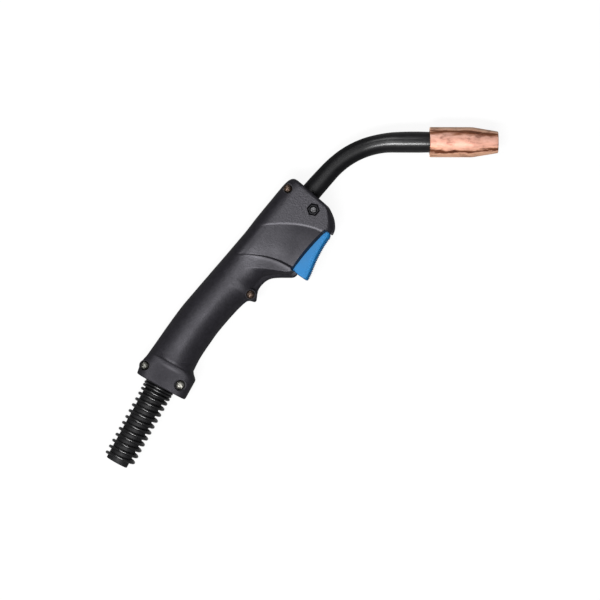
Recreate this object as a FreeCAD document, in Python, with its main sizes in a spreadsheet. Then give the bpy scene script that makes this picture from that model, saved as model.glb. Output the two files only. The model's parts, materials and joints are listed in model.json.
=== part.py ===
import FreeCAD, Part
import math
import os
import re
import Sketcher
from FreeCAD import Placement, Rotation, Vector

# A hand-held MIG welding torch that lies on its side.
# Everything is modelled in the handle's frame, in millimetres: the origin is where the neck's axis
# meets the front of the handle, +X runs back along the grip, +Y points to the trigger side and +Z is
# square to the plane in which the neck bends. At the end the whole torch is turned about Z until the
# nozzle points along +X, and moved so that the floor under its middle is the origin.

document = FreeCAD.newDocument("welding_torch")
sizes = document.addObject("Spreadsheet::Sheet", "sizes")

# alias, value in millimetres or degrees, what it is
DRIVING_SIZES = [
    ("handleLean", 49.5, "turn of the neck, from the grip's line to the nozzle's line, in degrees"),
    ("neckDiameter", 15.875, "outer diameter of the neck, five eighths of an inch"),
    ("jacketWall", 1.2, "wall of the neck's outer jacket"),
    ("insulationWall", 1.1, "wall of the sleeve between jacket and conductor"),
    ("conductorWall", 2.0, "wall of the tube that carries current and gas"),
    ("conductorTail", 14.0, "length of that tube held in the brass block"),
    ("conductorNose", 6.0, "length of that tube held in the gas diffuser"),
    ("neckSeat", 28.0, "length of neck held inside the handle"),
    ("neckStraight", 20.3, "straight neck in front of the handle"),
    ("neckBend", 66.8, "bend radius of the neck's axis"),
    ("neckReach", 27.3, "straight neck from the bend to the back of the nozzle"),
    ("fitGap", 0.05, "radial clearance of a running or push fit"),
    ("looseGap", 0.3, "clearance of a loose seat"),
    ("edgeBreak", 0.5, "edge broken off a turned piece"),
    ("lockGroove", 0.5, "depth of the groove in the jacket that the clamp bolt keys into"),
    ("nozzleLength", 52.7, "nozzle, end to end"),
    ("nozzleDiameter", 23.2, "nozzle, outside, over its back part"),
    ("nozzleStraight", 33.0, "length of the nozzle's back part"),
    ("nozzleMouth", 16.5, "nozzle, outside, at the mouth"),
    ("nozzleBore", 12.7, "nozzle, inside, at the mouth, half an inch"),
    ("nozzleWall", 1.8, "wall of the nozzle's back part"),
    ("jacketOverlap", 4.0, "length of the jacket inside the nozzle"),
    ("insulatorLength", 15.0, "length of the insulator that the nozzle slides over"),
    ("ringWire", 0.9, "wire of the ring that grips the nozzle"),
    ("diffuserFrom", 15.5, "back of the gas diffuser, from the back of the nozzle"),
    ("diffuserLength", 19.0, "length of the gas diffuser"),
    ("diffuserRadius", 7.2, "outer radius of the gas diffuser"),
    ("gasHole", 1.8, "diameter of a gas hole"),
    ("tipRadius", 3.6, "outer radius of the contact tip"),
    ("tipBore", 1.3, "wire bore of the contact tip"),
    ("tipRecess", 3.2, "how far the contact tip stands back from the mouth"),
    ("tipSeat", 9.0, "length of tip held in the diffuser"),
    ("tipStep", 0.6, "step from the tip's barrel down to its seat"),
    ("linerDiameter", 4.8, "outer diameter of the wire liner"),
    ("linerBore", 1.8, "bore of the wire liner"),
    ("linerTail", 6.0, "length of liner that stands out behind the union nut"),
    ("handleThickness", 36.0, "handle across its flat sides"),
    ("gripThickness", 34.0, "grip across the same way"),
    ("shellWall", 3.0, "wall of the handle's shells"),
    ("housingBack", 19.4, "from the neck's axis to the housing's back"),
    ("housingFront", 34.0, "from the neck's axis to the housing's front, at nose and lip"),
    ("noseHeight", 14.0, "length of the nose's curve"),
    ("lipAt", 57.0, "from the front of the handle to the lip under the trigger"),
    ("recessAt", 78.0, "from the front of the handle to the bottom of the finger recess"),
    ("recessFront", 17.6, "from the neck's axis to the bottom of the finger recess"),
    ("gripBack", 18.3, "from the neck's axis to the grip's back"),
    ("gripFront", 15.6, "from the neck's axis to the grip's front, at its thinnest"),
    ("ribWidth", 2.5, "rib across the inside of a shell"),
    ("gripAt", 112.0, "from the front of the handle to the grip's thinnest place"),
    ("stopAt", 91.6, "from the front of the handle to the finger stop's tip"),
    ("stopReach", 22.6, "from the neck's axis to the finger stop's tip"),
    ("stopWidth", 27.0, "finger stop, across the handle"),
    ("handleLength", 188.6, "from the front of the handle to the middle of its end face"),
    ("endOffset", 8.7, "from the neck's axis to the middle of the end face"),
    ("endTurn", 11.7, "turn of the strain relief's axis from the grip's line, in degrees"),
    ("collarLength", 20.0, "length of the thicker collar at the handle's end"),
    ("collarBack", 20.0, "collar, from the strain relief's axis to its back"),
    ("collarFront", 22.0, "collar, from the strain relief's axis to its front"),
    ("collarRound", 8.0, "rounding of the collar's long edges"),
    ("panelDepth", 0.8, "depth of the sunk panel on each flank"),
    ("mouthEdge", 26.4, "from the neck's axis to the housing's edge beside the trigger"),
    ("triggerWidth", 26.0, "trigger, across the handle"),
    ("triggerReach", 42.2, "from the neck's axis to the trigger's tail"),
    ("triggerGap", 0.4, "gap between trigger and handle"),
    ("pivotAt", 19.5, "from the front of the handle to the trigger's pin"),
    ("pivotOut", 24.5, "from the neck's axis to the trigger's pin"),
    ("pinDiameter", 3.0, "trigger's pin"),
    ("switchLength", 12.8, "snap switch, along the grip"),
    ("switchHeight", 6.5, "snap switch, towards the trigger"),
    ("switchWidth", 5.8, "snap switch, across the handle"),
    ("switchTop", 20.5, "from the neck's axis to the switch's top"),
    ("plungerArm", 16.5, "from the trigger's pin to the switch's plunger, along the grip"),
    ("plungerDiameter", 2.4, "switch's plunger"),
    ("pegRadius", 1.0, "radius of the pegs that hold the switch"),
    ("triggerTurn", 6.0, "how far the trigger turns, in degrees"),
    ("screwShank", 3.0, "handle screw's shank"),
    ("screwHead", 6.8, "handle screw's head"),
    ("screwHeadHeight", 2.4, "height of the handle screw's head"),
    ("screwReach", 11.0, "how far the handle screw goes past the middle plane"),
    ("screwDepth", 2.6, "handle screw's head below the flank"),
    ("boltAt", 9.3, "from the front of the handle to the clamp bolt"),
    ("boltOut", 10.3, "from the neck's axis to the clamp bolt"),
    ("boltDiameter", 5.0, "clamp bolt"),
    ("boltHead", 2.6, "height of the clamp bolt's head"),
    ("boltDepth", 3.4, "depth of the well that holds that head"),
    ("nutAcross", 8.0, "clamp nut, across its flats"),
    ("nutHeight", 4.0, "clamp nut"),
    ("nutDepth", 2.0, "clamp nut below the flank"),
    ("blockRadius", 9.0, "brass block behind the neck"),
    ("blockLength", 28.0, "brass block behind the neck"),
    ("unionThread", 8.0, "threaded end of the block, inside the union nut"),
    ("threadStep", 1.5, "step down to that thread"),
    ("setScrewAt", 17.5, "from the neck's seat to the screw that holds the liner"),
    ("setScrewRadius", 2.0, "radius of that screw"),
    ("unionAcross", 19.0, "union nut, across its flats"),
    ("unionLength", 12.0, "union nut"),
    ("barbRadius", 5.6, "cable fitting's tail"),
    ("barbLength", 26.0, "cable fitting's tail"),
    ("barbStep", 0.8, "height of a barb"),
    ("flangeLength", 1.8, "flange that the union nut pulls on"),
    ("clampWall", 2.2, "wall of the crimped clamp round the tail"),
    ("clampLength", 14.0, "crimped clamp"),
    ("sealWire", 1.4, "cord of the rings that seal the liner"),
    ("sealPitch", 3.0, "from ring to ring"),
    ("leadDiameter", 1.6, "switch lead"),
    ("leadSpread", 4.6, "from the middle plane to each switch lead"),
    ("spliceDiameter", 3.8, "splice at a lead's end"),
    ("spliceLength", 12.0, "splice at a lead's end"),
    ("sleeveDiameter", 17.6, "strain relief's inner sleeve"),
    ("cableBore", 15.0, "bore of the inner sleeve, for the cable"),
    ("sleeveSeat", 16.0, "length of sleeve inside the handle"),
    ("sleeveFlange", 2.5, "flange that holds the sleeve in the handle"),
    ("reliefLength", 68.0, "strain relief behind the handle"),
    ("springDiameter", 24.2, "strain relief's spring, outside"),
    ("springWire", 2.3, "wire of that spring"),
    ("springPitch", 5.2, "pitch of its open turns"),
    ("springSeat", 4.5, "length of spring inside the handle"),
    ("springClose", 0.55, "gap between its closest turns"),
    ("sleeveSag", 0.6, "how far the sleeve lies off the spring's axis"),
]

for row, (alias, value, note) in enumerate(DRIVING_SIZES, start=1):
    sizes.set(f"A{row}", str(value))
    sizes.set(f"B{row}", note)
    sizes.setAlias(f"A{row}", alias)
document.recompute()

Z_AXIS = Vector(0, 0, 1)
nodes = []


def size(alias):
    return float(sizes.get(alias))


def bound(text):
    # Puts the sheet's name in front of every alias in a formula.
    return re.sub(r"\b([a-z]\w*)\b(?!\()", r"sizes.\1", text)


def node(piece):
    nodes.append(piece)
    return piece


# Sketches and turned pieces

def plane(body, role):
    return next(feature for feature in body.Origin.OriginFeatures if feature.Role == role)


def sketch_on(body, role, name, offset="0"):
    sketch = body.newObject("Sketcher::SketchObject", name)
    sketch.AttachmentSupport = [(plane(body, role), "")]
    sketch.MapMode = "FlatFace"
    sketch.setExpression("AttachmentOffset.Base.z", bound(offset))
    return sketch


def fix_point(sketch, geometry, end, across, up):
    point = sketch.getPoint(geometry, end)
    for kind, start, formula in (("DistanceX", point.x, across), ("DistanceY", point.y, up)):
        constraint = sketch.addConstraint(Sketcher.Constraint(kind, -1, 1, geometry, end, start))
        sketch.setExpression(f"Constraints[{constraint}]", bound(formula))


def draw_polygon(sketch, corners):
    # The corners start on a small circle, and their two distances then pull them into place.
    count = len(corners)
    turn = 2 * math.pi / count
    starts = [Vector(50 + 5 * math.cos(turn * i), 50 + 5 * math.sin(turn * i), 0) for i in range(count)]
    first = sketch.GeometryCount
    for i in range(count):
        sketch.addGeometry(Part.LineSegment(starts[i], starts[(i + 1) % count]), False)
    for i in range(count):
        sketch.addConstraint(Sketcher.Constraint("Coincident", first + i, 2, first + (i + 1) % count, 1))
    for i, (across, up) in enumerate(corners):
        fix_point(sketch, first + i, 1, across, up)


def draw_circle(sketch, radius, across="0", up="0"):
    circle = sketch.addGeometry(Part.Circle(Vector(1, 1, 0), Z_AXIS, 1), False)
    constraint = sketch.addConstraint(Sketcher.Constraint("Radius", circle, 1))
    sketch.setExpression(f"Constraints[{constraint}]", bound(radius))
    fix_point(sketch, circle, 3, across, up)


def turned(label, corners):
    # A piece turned about X: the corners are distances along the axis and radii.
    body = document.addObject("PartDesign::Body", label)
    sketch = sketch_on(body, "XY_Plane", label + "_profile")
    draw_polygon(sketch, corners)
    revolution = body.newObject("PartDesign::Revolution", label + "_turned")
    revolution.Profile = sketch
    revolution.ReferenceAxis = (sketch, ["H_Axis"])
    revolution.Angle = 360
    document.recompute()
    return body


def padded(label, corners, width):
    # A flat piece of the given outline, the same to both sides of the torch's middle.
    body = document.addObject("PartDesign::Body", label)
    sketch = sketch_on(body, "XY_Plane", label + "_outline")
    draw_polygon(sketch, corners)
    pad = body.newObject("PartDesign::Pad", label + "_pad")
    pad.Profile = sketch
    pad.setExpression("Length", bound(width))
    pad.Midplane = True
    document.recompute()
    return body


def drilled(body, name, radius, across, up, copies=1):
    # A hole square to the torch's middle plane, repeated round the piece's own axis.
    sketch = sketch_on(body, "XY_Plane", name + "_circle")
    draw_circle(sketch, radius, across, up)
    pocket = body.newObject("PartDesign::Pocket", name)
    pocket.Profile = sketch
    pocket.Type = "ThroughAll"
    pocket.Midplane = True
    document.recompute()
    if copies > 1:
        pattern = body.newObject("PartDesign::PolarPattern", name + "s")
        pattern.Originals = [pocket]
        pattern.Axis = (sketch, ["H_Axis"])
        pattern.Angle = 360
        pattern.Occurrences = copies
        body.Tip = pattern
        document.recompute()


def cylinder(name, radius, height, at, axis=Z_AXIS):
    piece = document.addObject("Part::Cylinder", name)
    piece.setExpression("Radius", bound(radius))
    piece.setExpression("Height", bound(height))
    piece.Placement = Placement(at, Rotation(Z_AXIS, axis))
    return piece


def box(name, length, width, height, at):
    piece = document.addObject("Part::Box", name)
    piece.setExpression("Length", bound(length))
    piece.setExpression("Width", bound(width))
    piece.setExpression("Height", bound(height))
    piece.Placement = Placement(at, Rotation())
    return piece


def cut(label, base, tool):
    piece = document.addObject("Part::Cut", label)
    piece.Base = base
    piece.Tool = tool
    return piece


def fused(label, pieces):
    piece = document.addObject("Part::MultiFuse", label)
    piece.Shapes = pieces
    return piece


def shaped(label, shape, place=Placement()):
    piece = document.addObject("Part::Feature", label)
    piece.Shape = shape
    piece.Placement = place
    return piece


# Neck: four bent tubes, one inside the other

lean = math.radians(size("handleLean"))
bend_end = Vector(-size("neckStraight") - size("neckBend") * math.sin(lean),
                  size("neckBend") * (1 - math.cos(lean)), 0)
nozzle_way = Vector(-math.cos(lean), math.sin(lean), 0)
nozzle_place = Placement(bend_end + nozzle_way * size("neckReach"),
                         Rotation(Z_AXIS, 180 - size("handleLean")))


def bent_tube(label, back, reach, outer, inner):
    # Straight, bend and straight, from inside the handle (back) to reach past the bend.
    body = document.addObject("PartDesign::Body", label)
    ring = sketch_on(body, "YZ_Plane", label + "_ring", back)
    draw_circle(ring, outer)
    draw_circle(ring, inner)
    path = sketch_on(body, "XY_Plane", label + "_path")
    radius = size("neckBend")
    bend_start = Vector(-size("neckStraight"), 0, 0)
    end = bend_end + nozzle_way * 30
    path.addGeometry(Part.LineSegment(Vector(30, 0, 0), bend_start), False)
    circle = Part.Circle(bend_start + Vector(0, radius, 0), Z_AXIS, radius)
    path.addGeometry(Part.ArcOfCircle(circle, math.pi * 1.5 - lean, math.pi * 1.5), False)
    path.addGeometry(Part.LineSegment(bend_end, end), False)
    path.addConstraint(Sketcher.Constraint("Tangent", 0, 2, 1, 2))
    path.addConstraint(Sketcher.Constraint("Tangent", 1, 1, 2, 1))
    bend = path.addConstraint(Sketcher.Constraint("Radius", 1, radius))
    path.setExpression(f"Constraints[{bend}]", bound("neckBend"))
    fix_point(path, 0, 1, back, "0")
    fix_point(path, 0, 2, "-neckStraight", "0")
    across = f"-neckStraight - neckBend * sin(handleLean) - ({reach}) * cos(handleLean)"
    fix_point(path, 2, 2, across, f"neckBend * (1 - cos(handleLean)) + ({reach}) * sin(handleLean)")
    pipe = body.newObject("PartDesign::AdditivePipe", label + "_pipe")
    pipe.Profile = ring
    pipe.Spine = (path, ["Edge1", "Edge2", "Edge3"])
    document.recompute()
    return body


JACKET_INNER = "(neckDiameter / 2 - jacketWall)"
CONDUCTOR = "(neckDiameter / 2 - jacketWall - insulationWall)"
GAS_BORE = "(neckDiameter / 2 - jacketWall - insulationWall - conductorWall)"
LINER_BORE = "(linerDiameter / 2 + fitGap)"
TIP_FLOOR = "(diffuserFrom + diffuserLength - tipSeat)"


def add_neck():
    jacket = bent_tube("neck_jacket", "neckSeat", "neckReach + jacketOverlap", "neckDiameter / 2",
                       JACKET_INNER)
    groove = jacket.newObject("PartDesign::Groove", "neck_lock_groove")
    sketch = sketch_on(jacket, "XY_Plane", "neck_lock_profile")
    half = "(boltDiameter / 2 + looseGap)"
    draw_polygon(sketch, [(f"boltAt - {half}", "neckDiameter / 2 - lockGroove"),
                          (f"boltAt + {half}", "neckDiameter / 2 - lockGroove"),
                          (f"boltAt + {half}", "neckDiameter / 2 + 1"),
                          (f"boltAt - {half}", "neckDiameter / 2 + 1")])
    groove.Profile = sketch
    groove.ReferenceAxis = (sketch, ["H_Axis"])
    groove.Angle = 360
    jacket.Tip = groove
    document.recompute()
    node(jacket)
    node(bent_tube("neck_insulation", "neckSeat", "neckReach + jacketOverlap",
                   f"{JACKET_INNER} - fitGap", f"{CONDUCTOR} + fitGap"))
    node(bent_tube("neck_conductor", "neckSeat + conductorTail",
                   "neckReach + diffuserFrom + conductorNose", CONDUCTOR, GAS_BORE))
    node(bent_tube("wire_liner", "neckSeat + blockLength + unionLength + linerTail",
                   f"neckReach + {TIP_FLOOR} - edgeBreak", "linerDiameter / 2", "linerBore / 2"))


# Front end, in the nozzle's own frame: X from the back of the nozzle to its mouth

NOZZLE_INNER = "(nozzleDiameter / 2 - nozzleWall)"
INSULATOR_OUTER = f"({NOZZLE_INNER} - fitGap)"


def add_front_end():
    nozzle = turned("nozzle",
                    [("0", NOZZLE_INNER), ("0", "nozzleDiameter / 2 - edgeBreak"),
                     ("edgeBreak", "nozzleDiameter / 2"), ("nozzleStraight", "nozzleDiameter / 2"),
                     ("nozzleStraight + 6 * edgeBreak", "nozzleDiameter / 2 - edgeBreak / 2"),
                     ("nozzleLength - edgeBreak", "nozzleMouth / 2"),
                     ("nozzleLength", "nozzleMouth / 2 - edgeBreak"), ("nozzleLength", "nozzleBore / 2"),
                     ("nozzleLength - nozzleWall", "nozzleBore / 2"), ("nozzleStraight", NOZZLE_INNER)])
    insulator = turned("nozzle_insulator",
                       [("edgeBreak", "neckDiameter / 2 + fitGap"), ("edgeBreak", INSULATOR_OUTER),
                        ("insulatorLength / 2 - ringWire", INSULATOR_OUTER),
                        ("insulatorLength / 2 - ringWire", f"{INSULATOR_OUTER} - ringWire"),
                        ("insulatorLength / 2 + ringWire", f"{INSULATOR_OUTER} - ringWire"),
                        ("insulatorLength / 2 + ringWire", INSULATOR_OUTER),
                        ("insulatorLength - edgeBreak", INSULATOR_OUTER),
                        ("insulatorLength", f"{INSULATOR_OUTER} - edgeBreak"),
                        ("insulatorLength", f"{CONDUCTOR} + fitGap"),
                        ("jacketOverlap + 2 * fitGap", f"{CONDUCTOR} + fitGap"),
                        ("jacketOverlap + 2 * fitGap", "neckDiameter / 2 + fitGap")])
    diffuser_end = "diffuserFrom + diffuserLength"
    chamber = "diffuserFrom + conductorNose + 2 * fitGap"
    diffuser = turned("gas_diffuser",
                      [("diffuserFrom", f"{CONDUCTOR} + fitGap"), ("diffuserFrom", "diffuserRadius"),
                       (f"{diffuser_end} - 6 * edgeBreak", "diffuserRadius"),
                       (diffuser_end, "diffuserRadius - 3 * edgeBreak"),
                       (diffuser_end, "tipRadius - tipStep + fitGap"),
                       (TIP_FLOOR, "tipRadius - tipStep + fitGap"), (TIP_FLOOR, LINER_BORE),
                       (f"{TIP_FLOOR} - 2 * edgeBreak", LINER_BORE),
                       (f"{TIP_FLOOR} - 2 * edgeBreak", GAS_BORE), (chamber, GAS_BORE),
                       (chamber, f"{CONDUCTOR} + fitGap")])
    drilled(diffuser, "gas_hole", "gasHole / 2", chamber + " + gasHole / 2 + fitGap", "0", copies=3)
    tip = turned("contact_tip",
                 [(f"{TIP_FLOOR} + 2 * fitGap", "tipBore / 2"),
                  (f"{TIP_FLOOR} + 2 * fitGap", "tipRadius - tipStep"),
                  (diffuser_end, "tipRadius - tipStep"), (diffuser_end, "tipRadius"),
                  ("nozzleLength - tipRecess - tipRadius", "tipRadius"),
                  ("nozzleLength - tipRecess", "tipRadius * 2 / 3"),
                  ("nozzleLength - tipRecess", "tipBore / 2")])
    middle = size("nozzleDiameter") / 2 - size("nozzleWall") - size("fitGap") - size("ringWire") / 2
    cord = size("ringWire") / 2 - size("fitGap")
    open_ring = 330
    ring_at = Vector(size("insulatorLength") / 2, 0, 0)
    ring = shaped("nozzle_ring", Part.makeTorus(middle, cord, ring_at, Vector(1, 0, 0), 0, 360, open_ring))
    for piece in (nozzle, insulator, diffuser, tip, ring):
        piece.Placement = nozzle_place
        node(piece)


# Inside the handle: the block that joins neck and cable

def hexagon(name, across, length, at, axis):
    prism = document.addObject("Part::Prism", name)
    prism.Polygon = 6
    prism.setExpression("Circumradius", bound(f"({across}) / 2 / cos(30)"))
    prism.setExpression("Height", bound(length))
    prism.Placement = Placement(at, Rotation(Z_AXIS, axis))
    return prism


def add_cable_joint():
    seat = size("neckSeat")
    along = Vector(1, 0, 0)
    block_from = "neckSeat + edgeBreak"
    block_end = "neckSeat + blockLength"
    thread = "blockRadius - threadStep"
    well = "neckSeat + conductorTail + 2 * fitGap"
    seal_grooves = []
    for place in (1, 2):
        groove = f"{block_end} - {place} * sealPitch"
        seal_grooves += [(f"{groove} + sealWire + 4 * fitGap", LINER_BORE),
                         (f"{groove} + sealWire + 4 * fitGap", f"{LINER_BORE} + sealWire"),
                         (groove, f"{LINER_BORE} + sealWire"), (groove, LINER_BORE)]
    block = turned("power_block_blank",
                   [(block_from, f"{CONDUCTOR} + fitGap"), (block_from, "blockRadius - 2 * edgeBreak"),
                    (f"{block_from} + 2 * edgeBreak", "blockRadius"),
                    (f"{block_end} - unionThread", "blockRadius"), (f"{block_end} - unionThread", thread),
                    (block_end, thread), (block_end, LINER_BORE)] + seal_grooves
                   + [(f"{well} + 4 * edgeBreak", LINER_BORE), (well, f"{GAS_BORE} - 4 * fitGap"),
                      (well, f"{CONDUCTOR} + fitGap")])
    liner = size("linerDiameter") / 2
    screw_at = Vector(seat + size("setScrewAt"), 0, liner + size("fitGap"))
    hole = cylinder("set_screw_hole", "setScrewRadius + fitGap", "blockRadius", screw_at)
    node(cut("power_block", block, hole))
    screw = cylinder("set_screw_body", "setScrewRadius", "blockRadius - linerDiameter / 2 - edgeBreak",
                     screw_at)
    socket_at = Vector(screw_at.x, 0, size("blockRadius") - size("setScrewRadius"))
    socket = hexagon("set_screw_socket", "setScrewRadius", "setScrewRadius * 2", socket_at, Z_AXIS)
    node(cut("liner_set_screw", screw, socket))

    cord = size("sealWire") / 2
    rings = []
    for place in (1, 2):
        start = seat + size("blockLength") - place * size("sealPitch")
        ring_at = Vector(start + cord + 2 * size("fitGap"), 0, 0)
        rings.append(Part.makeTorus(liner + size("fitGap") + cord, cord - size("fitGap") / 2, ring_at, along))
    node(shaped("liner_seals", Part.makeCompound(rings)))

    joint = seat + size("blockLength")
    nut_from = Vector(joint - size("unionThread"), 0, 0)
    floor = Vector(joint - 2 * size("edgeBreak"), 0, 0)
    nut = hexagon("union_nut_blank", "unionAcross", "unionLength",
                  nut_from + along * size("looseGap"), along)
    front = cylinder("union_nut_thread", f"{thread} + fitGap", "unionThread", nut_from, along)
    back = cylinder("union_nut_bore", "barbRadius + fitGap", "unionLength", floor, along)
    flange = cylinder("union_nut_flange_room", "blockRadius - 4 * edgeBreak + fitGap",
                      "flangeLength + 2 * edgeBreak + 4 * fitGap", floor, along)
    node(cut("union_nut", nut, fused("union_nut_holes", [front, back, flange])))

    tail = f"{block_end} + fitGap"
    bore = "linerDiameter / 2 + 4 * fitGap"
    fitting = [(tail, bore), (tail, "blockRadius - 4 * edgeBreak"),
               (f"{tail} + flangeLength", "blockRadius - 4 * edgeBreak"),
               (f"{tail} + flangeLength", "barbRadius"), (f"{tail} + barbRadius", "barbRadius")]
    barbs = 4
    barb = f"(barbLength - barbRadius) / {barbs}"
    for ridge in range(barbs):
        start = f"{tail} + barbRadius + fitGap + {ridge} * {barb}"
        fitting += [(start, "barbRadius"), (f"{start} + {barb} - edgeBreak", "barbRadius - barbStep")]
    fitting += [(f"{tail} + barbLength + edgeBreak", "barbRadius - barbStep"),
                (f"{tail} + barbLength + edgeBreak", bore)]
    node(turned("cable_fitting", fitting))
    clamp_from = f"{tail} + barbLength - clampLength - barbStep"
    node(turned("cable_clamp", [(clamp_from, "barbRadius + fitGap"), (clamp_from, "barbRadius + clampWall"),
                                (clamp_from + " + clampLength", "barbRadius + clampWall"),
                                (clamp_from + " + clampLength", "barbRadius + fitGap")]))


# Handle: two mirrored shells about the torch's middle plane

def handle_stations():
    # Place along the grip, back, front, rounding at the back and at the front, half thickness.
    thick = size("handleThickness") / 2
    grip = size("gripThickness") / 2
    back = size("housingBack")
    front = size("housingFront")
    nose = size("noseHeight")
    lip = size("lipAt")
    recess = size("recessAt")
    slim = size("recessFront")
    return [
        (0.0, back - 3.8, front - 14.6, 5.0, 3.0, thick - 2.4),
        (nose * 0.25, back - 0.8, front - 8.2, 6.5, 4.0, thick - 0.5),
        (nose * 0.62, back, front - 2.2, 7.0, 4.5, thick),
        (nose, back, front, 7.0, 4.5, thick),
        (nose + 16, back - 0.2, front, 7.0, 4.5, thick),
        (lip - 9, back - 0.8, front, 7.5, 4.5, thick),
        (lip, back - 1.1, front - 0.8, 8.5, 5.0, thick),
        (lip + 6.5, size("gripBack"), front - 7.8, 10.0, 7.0, thick),
        (recess - 7, size("gripBack"), slim + 2.2, 12.0, 10.0, thick - 0.3),
        (recess + 1, size("gripBack"), slim, 14.0, 12.0, grip + 0.2),
        (recess + 12, size("gripBack"), slim - 0.6, 14.5, 13.0, grip),
        (size("gripAt"), size("gripBack"), size("gripFront"), 14.5, 14.0, grip),
        (size("gripAt") + 22, size("gripBack") - 0.3, size("gripFront") + 0.6, 14.5, 14.0, grip),
        (size("handleLength") - 34, size("gripBack") - 1.6, size("gripFront") + 2.8, 14.5, 14.0, grip),
        (size("handleLength") - 17, size("gripBack") - 3.9, size("gripFront") + 6.2, 14.5, 14.0, grip),
    ]


def smoothed(stations, steps):
    # A cubic curve through each value of the stations, read at steps places between two of them.
    rows = []
    last = len(stations) - 1
    for i in range(last):
        start, end = stations[i], stations[i + 1]
        before, after = stations[max(i - 1, 0)], stations[min(i + 2, last)]
        span = end[0] - start[0]
        for step in range(steps):
            part = step / steps
            row = [start[0] + span * part]
            for column in range(1, 6):
                leave = (end[column] - before[column]) / (end[0] - before[0]) * span
                arrive = (after[column] - start[column]) / (after[0] - start[0]) * span
                row.append((2 * part ** 3 - 3 * part ** 2 + 1) * start[column]
                           + (part ** 3 - 2 * part ** 2 + part) * leave
                           + (3 * part ** 2 - 2 * part ** 3) * end[column]
                           + (part ** 3 - part ** 2) * arrive)
            row[5] = min(row[5], max(start[5], end[5]))
            rows.append(tuple(row))
    return rows + [stations[last]]


def half_section(at, back, front, back_round, front_round, half, place=Placement()):
    # Half a rounded slab's outline, square to the grip: side, arc, top, arc, side and the middle plane.
    corner = math.sqrt(0.5)
    low_back = Vector(at, -back, 0)
    low_front = Vector(at, front, 0)
    back_mid = Vector(at, -back + back_round * (1 - corner), half - back_round * (1 - corner))
    front_mid = Vector(at, front - front_round * (1 - corner), half - front_round * (1 - corner))
    points = [low_back, Vector(at, -back, half - back_round), Vector(at, -back + back_round, half),
              Vector(at, front - front_round, half), Vector(at, front, half - front_round), low_front]
    edges = [Part.LineSegment(points[0], points[1]), Part.Arc(points[1], back_mid, points[2]),
             Part.LineSegment(points[2], points[3]), Part.Arc(points[3], front_mid, points[4]),
             Part.LineSegment(points[4], points[5]), Part.LineSegment(points[5], points[0])]
    wire = Part.Wire([edge.toShape() for edge in edges])
    wire.Placement = place
    return wire


def flat_prism(points, low, high, place=Placement()):
    # A straight prism over corners in the middle plane; a triple in the list is an arc's middle point.
    edges = []
    count = len(points)
    i = 0
    while i < count:
        start, after = points[i], points[(i + 1) % count]
        if len(after) == 3:
            end = points[(i + 2) % count]
            edges.append(Part.Arc(Vector(*start[:2], low), Vector(*after[:2], low),
                                  Vector(*end[:2], low)).toShape())
            i += 2
        else:
            edges.append(Part.LineSegment(Vector(*start[:2], low), Vector(*after[:2], low)).toShape())
            i += 1
    prism = Part.Face(Part.Wire(edges)).extrude(Vector(0, 0, high - low))
    prism.Placement = place
    return prism


end_place = Placement(Vector(size("handleLength"), size("endOffset"), 0), Rotation(Z_AXIS, size("endTurn")))


def end_point(along, across):
    # A point of the middle plane given in the strain relief's own frame.
    return end_place.multVec(Vector(along, across, 0))


def screw_places():
    collar = -size("collarLength") + 11.6
    front_low = end_point(collar, size("collarFront") - 8.3)
    back_low = end_point(collar, -size("collarBack") + 1.5)
    return [Vector(size("boltAt"), -size("housingBack") + 3.8, 0),
            Vector(size("stopAt") - 1.3, size("stopReach") - 6.8, 0), front_low, back_low]


def outer_half():
    body = Part.makeLoft([half_section(*station) for station in smoothed(handle_stations(), 2)], True, True)
    thick = size("handleThickness") / 2
    grip = size("gripThickness") / 2
    length = size("collarLength")
    back, front, rounding = size("collarBack"), size("collarFront"), size("collarRound")
    rise = length / 5
    sections = [(-length - rise, back - 0.6, front - 5.6, rounding + 5, rounding + 5, grip - 0.6),
                (-length, back - 0.2, front - 3.0, rounding + 1, rounding + 2, thick - 0.2),
                (-length + rise, back, front, rounding, rounding, thick),
                (0, back, front, rounding, rounding, thick)]
    collar = Part.makeLoft([half_section(*section, end_place) for section in sections], True, True)
    tip, reach = size("stopAt"), size("stopReach")
    low = size("gripFront") - 4
    layers = []
    for height, drop in ((0, 0), (size("stopWidth") / 2 - 5, 0.4), (size("stopWidth") / 2, reach - low - 3)):
        profile = [(tip - 12, low), (tip - 8, reach - 5 - drop * 0.9), (tip - 3.2, reach - 1.9 - drop),
                   (tip - 0.4, reach - drop), (tip + 1, reach - 0.5 - drop),
                   (tip + 4, reach - 5.4 - drop * 0.7), (tip + 8, low)]
        corners = [Vector(along, out, height) for along, out in profile]
        layers.append(Part.makePolygon(corners + corners[:1]))
    stop = Part.makeLoft(layers, True, True)
    return body.fuse([collar, stop])


def mouth_tool():
    # All that stands in front of the edges beside the trigger.
    front = size("housingFront")
    edge = size("mouthEdge")
    nose = size("noseHeight")
    lip = size("lipAt")
    points = [(nose - 6.4, front + 4), (lip + 3, front + 4.3), (lip - 1, edge + 0.9),
              (lip - 21, edge, "arc"), (nose + 3.6, front - 4)]
    return flat_prism(points, -size("handleThickness"), size("handleThickness"))


def panel_tool():
    # The sunk panel of each flank, between an upper and a lower arc.
    nose = size("noseHeight")
    lip = size("lipAt")
    front = size("housingFront")
    thick = size("handleThickness") / 2
    points = [(nose + 26.3, -8.8), (nose + 12.9, 6.8, "arc"), (nose + 3.6, 26.0), (nose + 3.6, front),
              (lip - 2.9, front), (lip - 2.9, 25.0), (lip + 3.6, 5.9, "arc"), (lip + 15, -10.3)]
    return flat_prism(points, thick - size("panelDepth"), 2 * thick)


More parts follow.
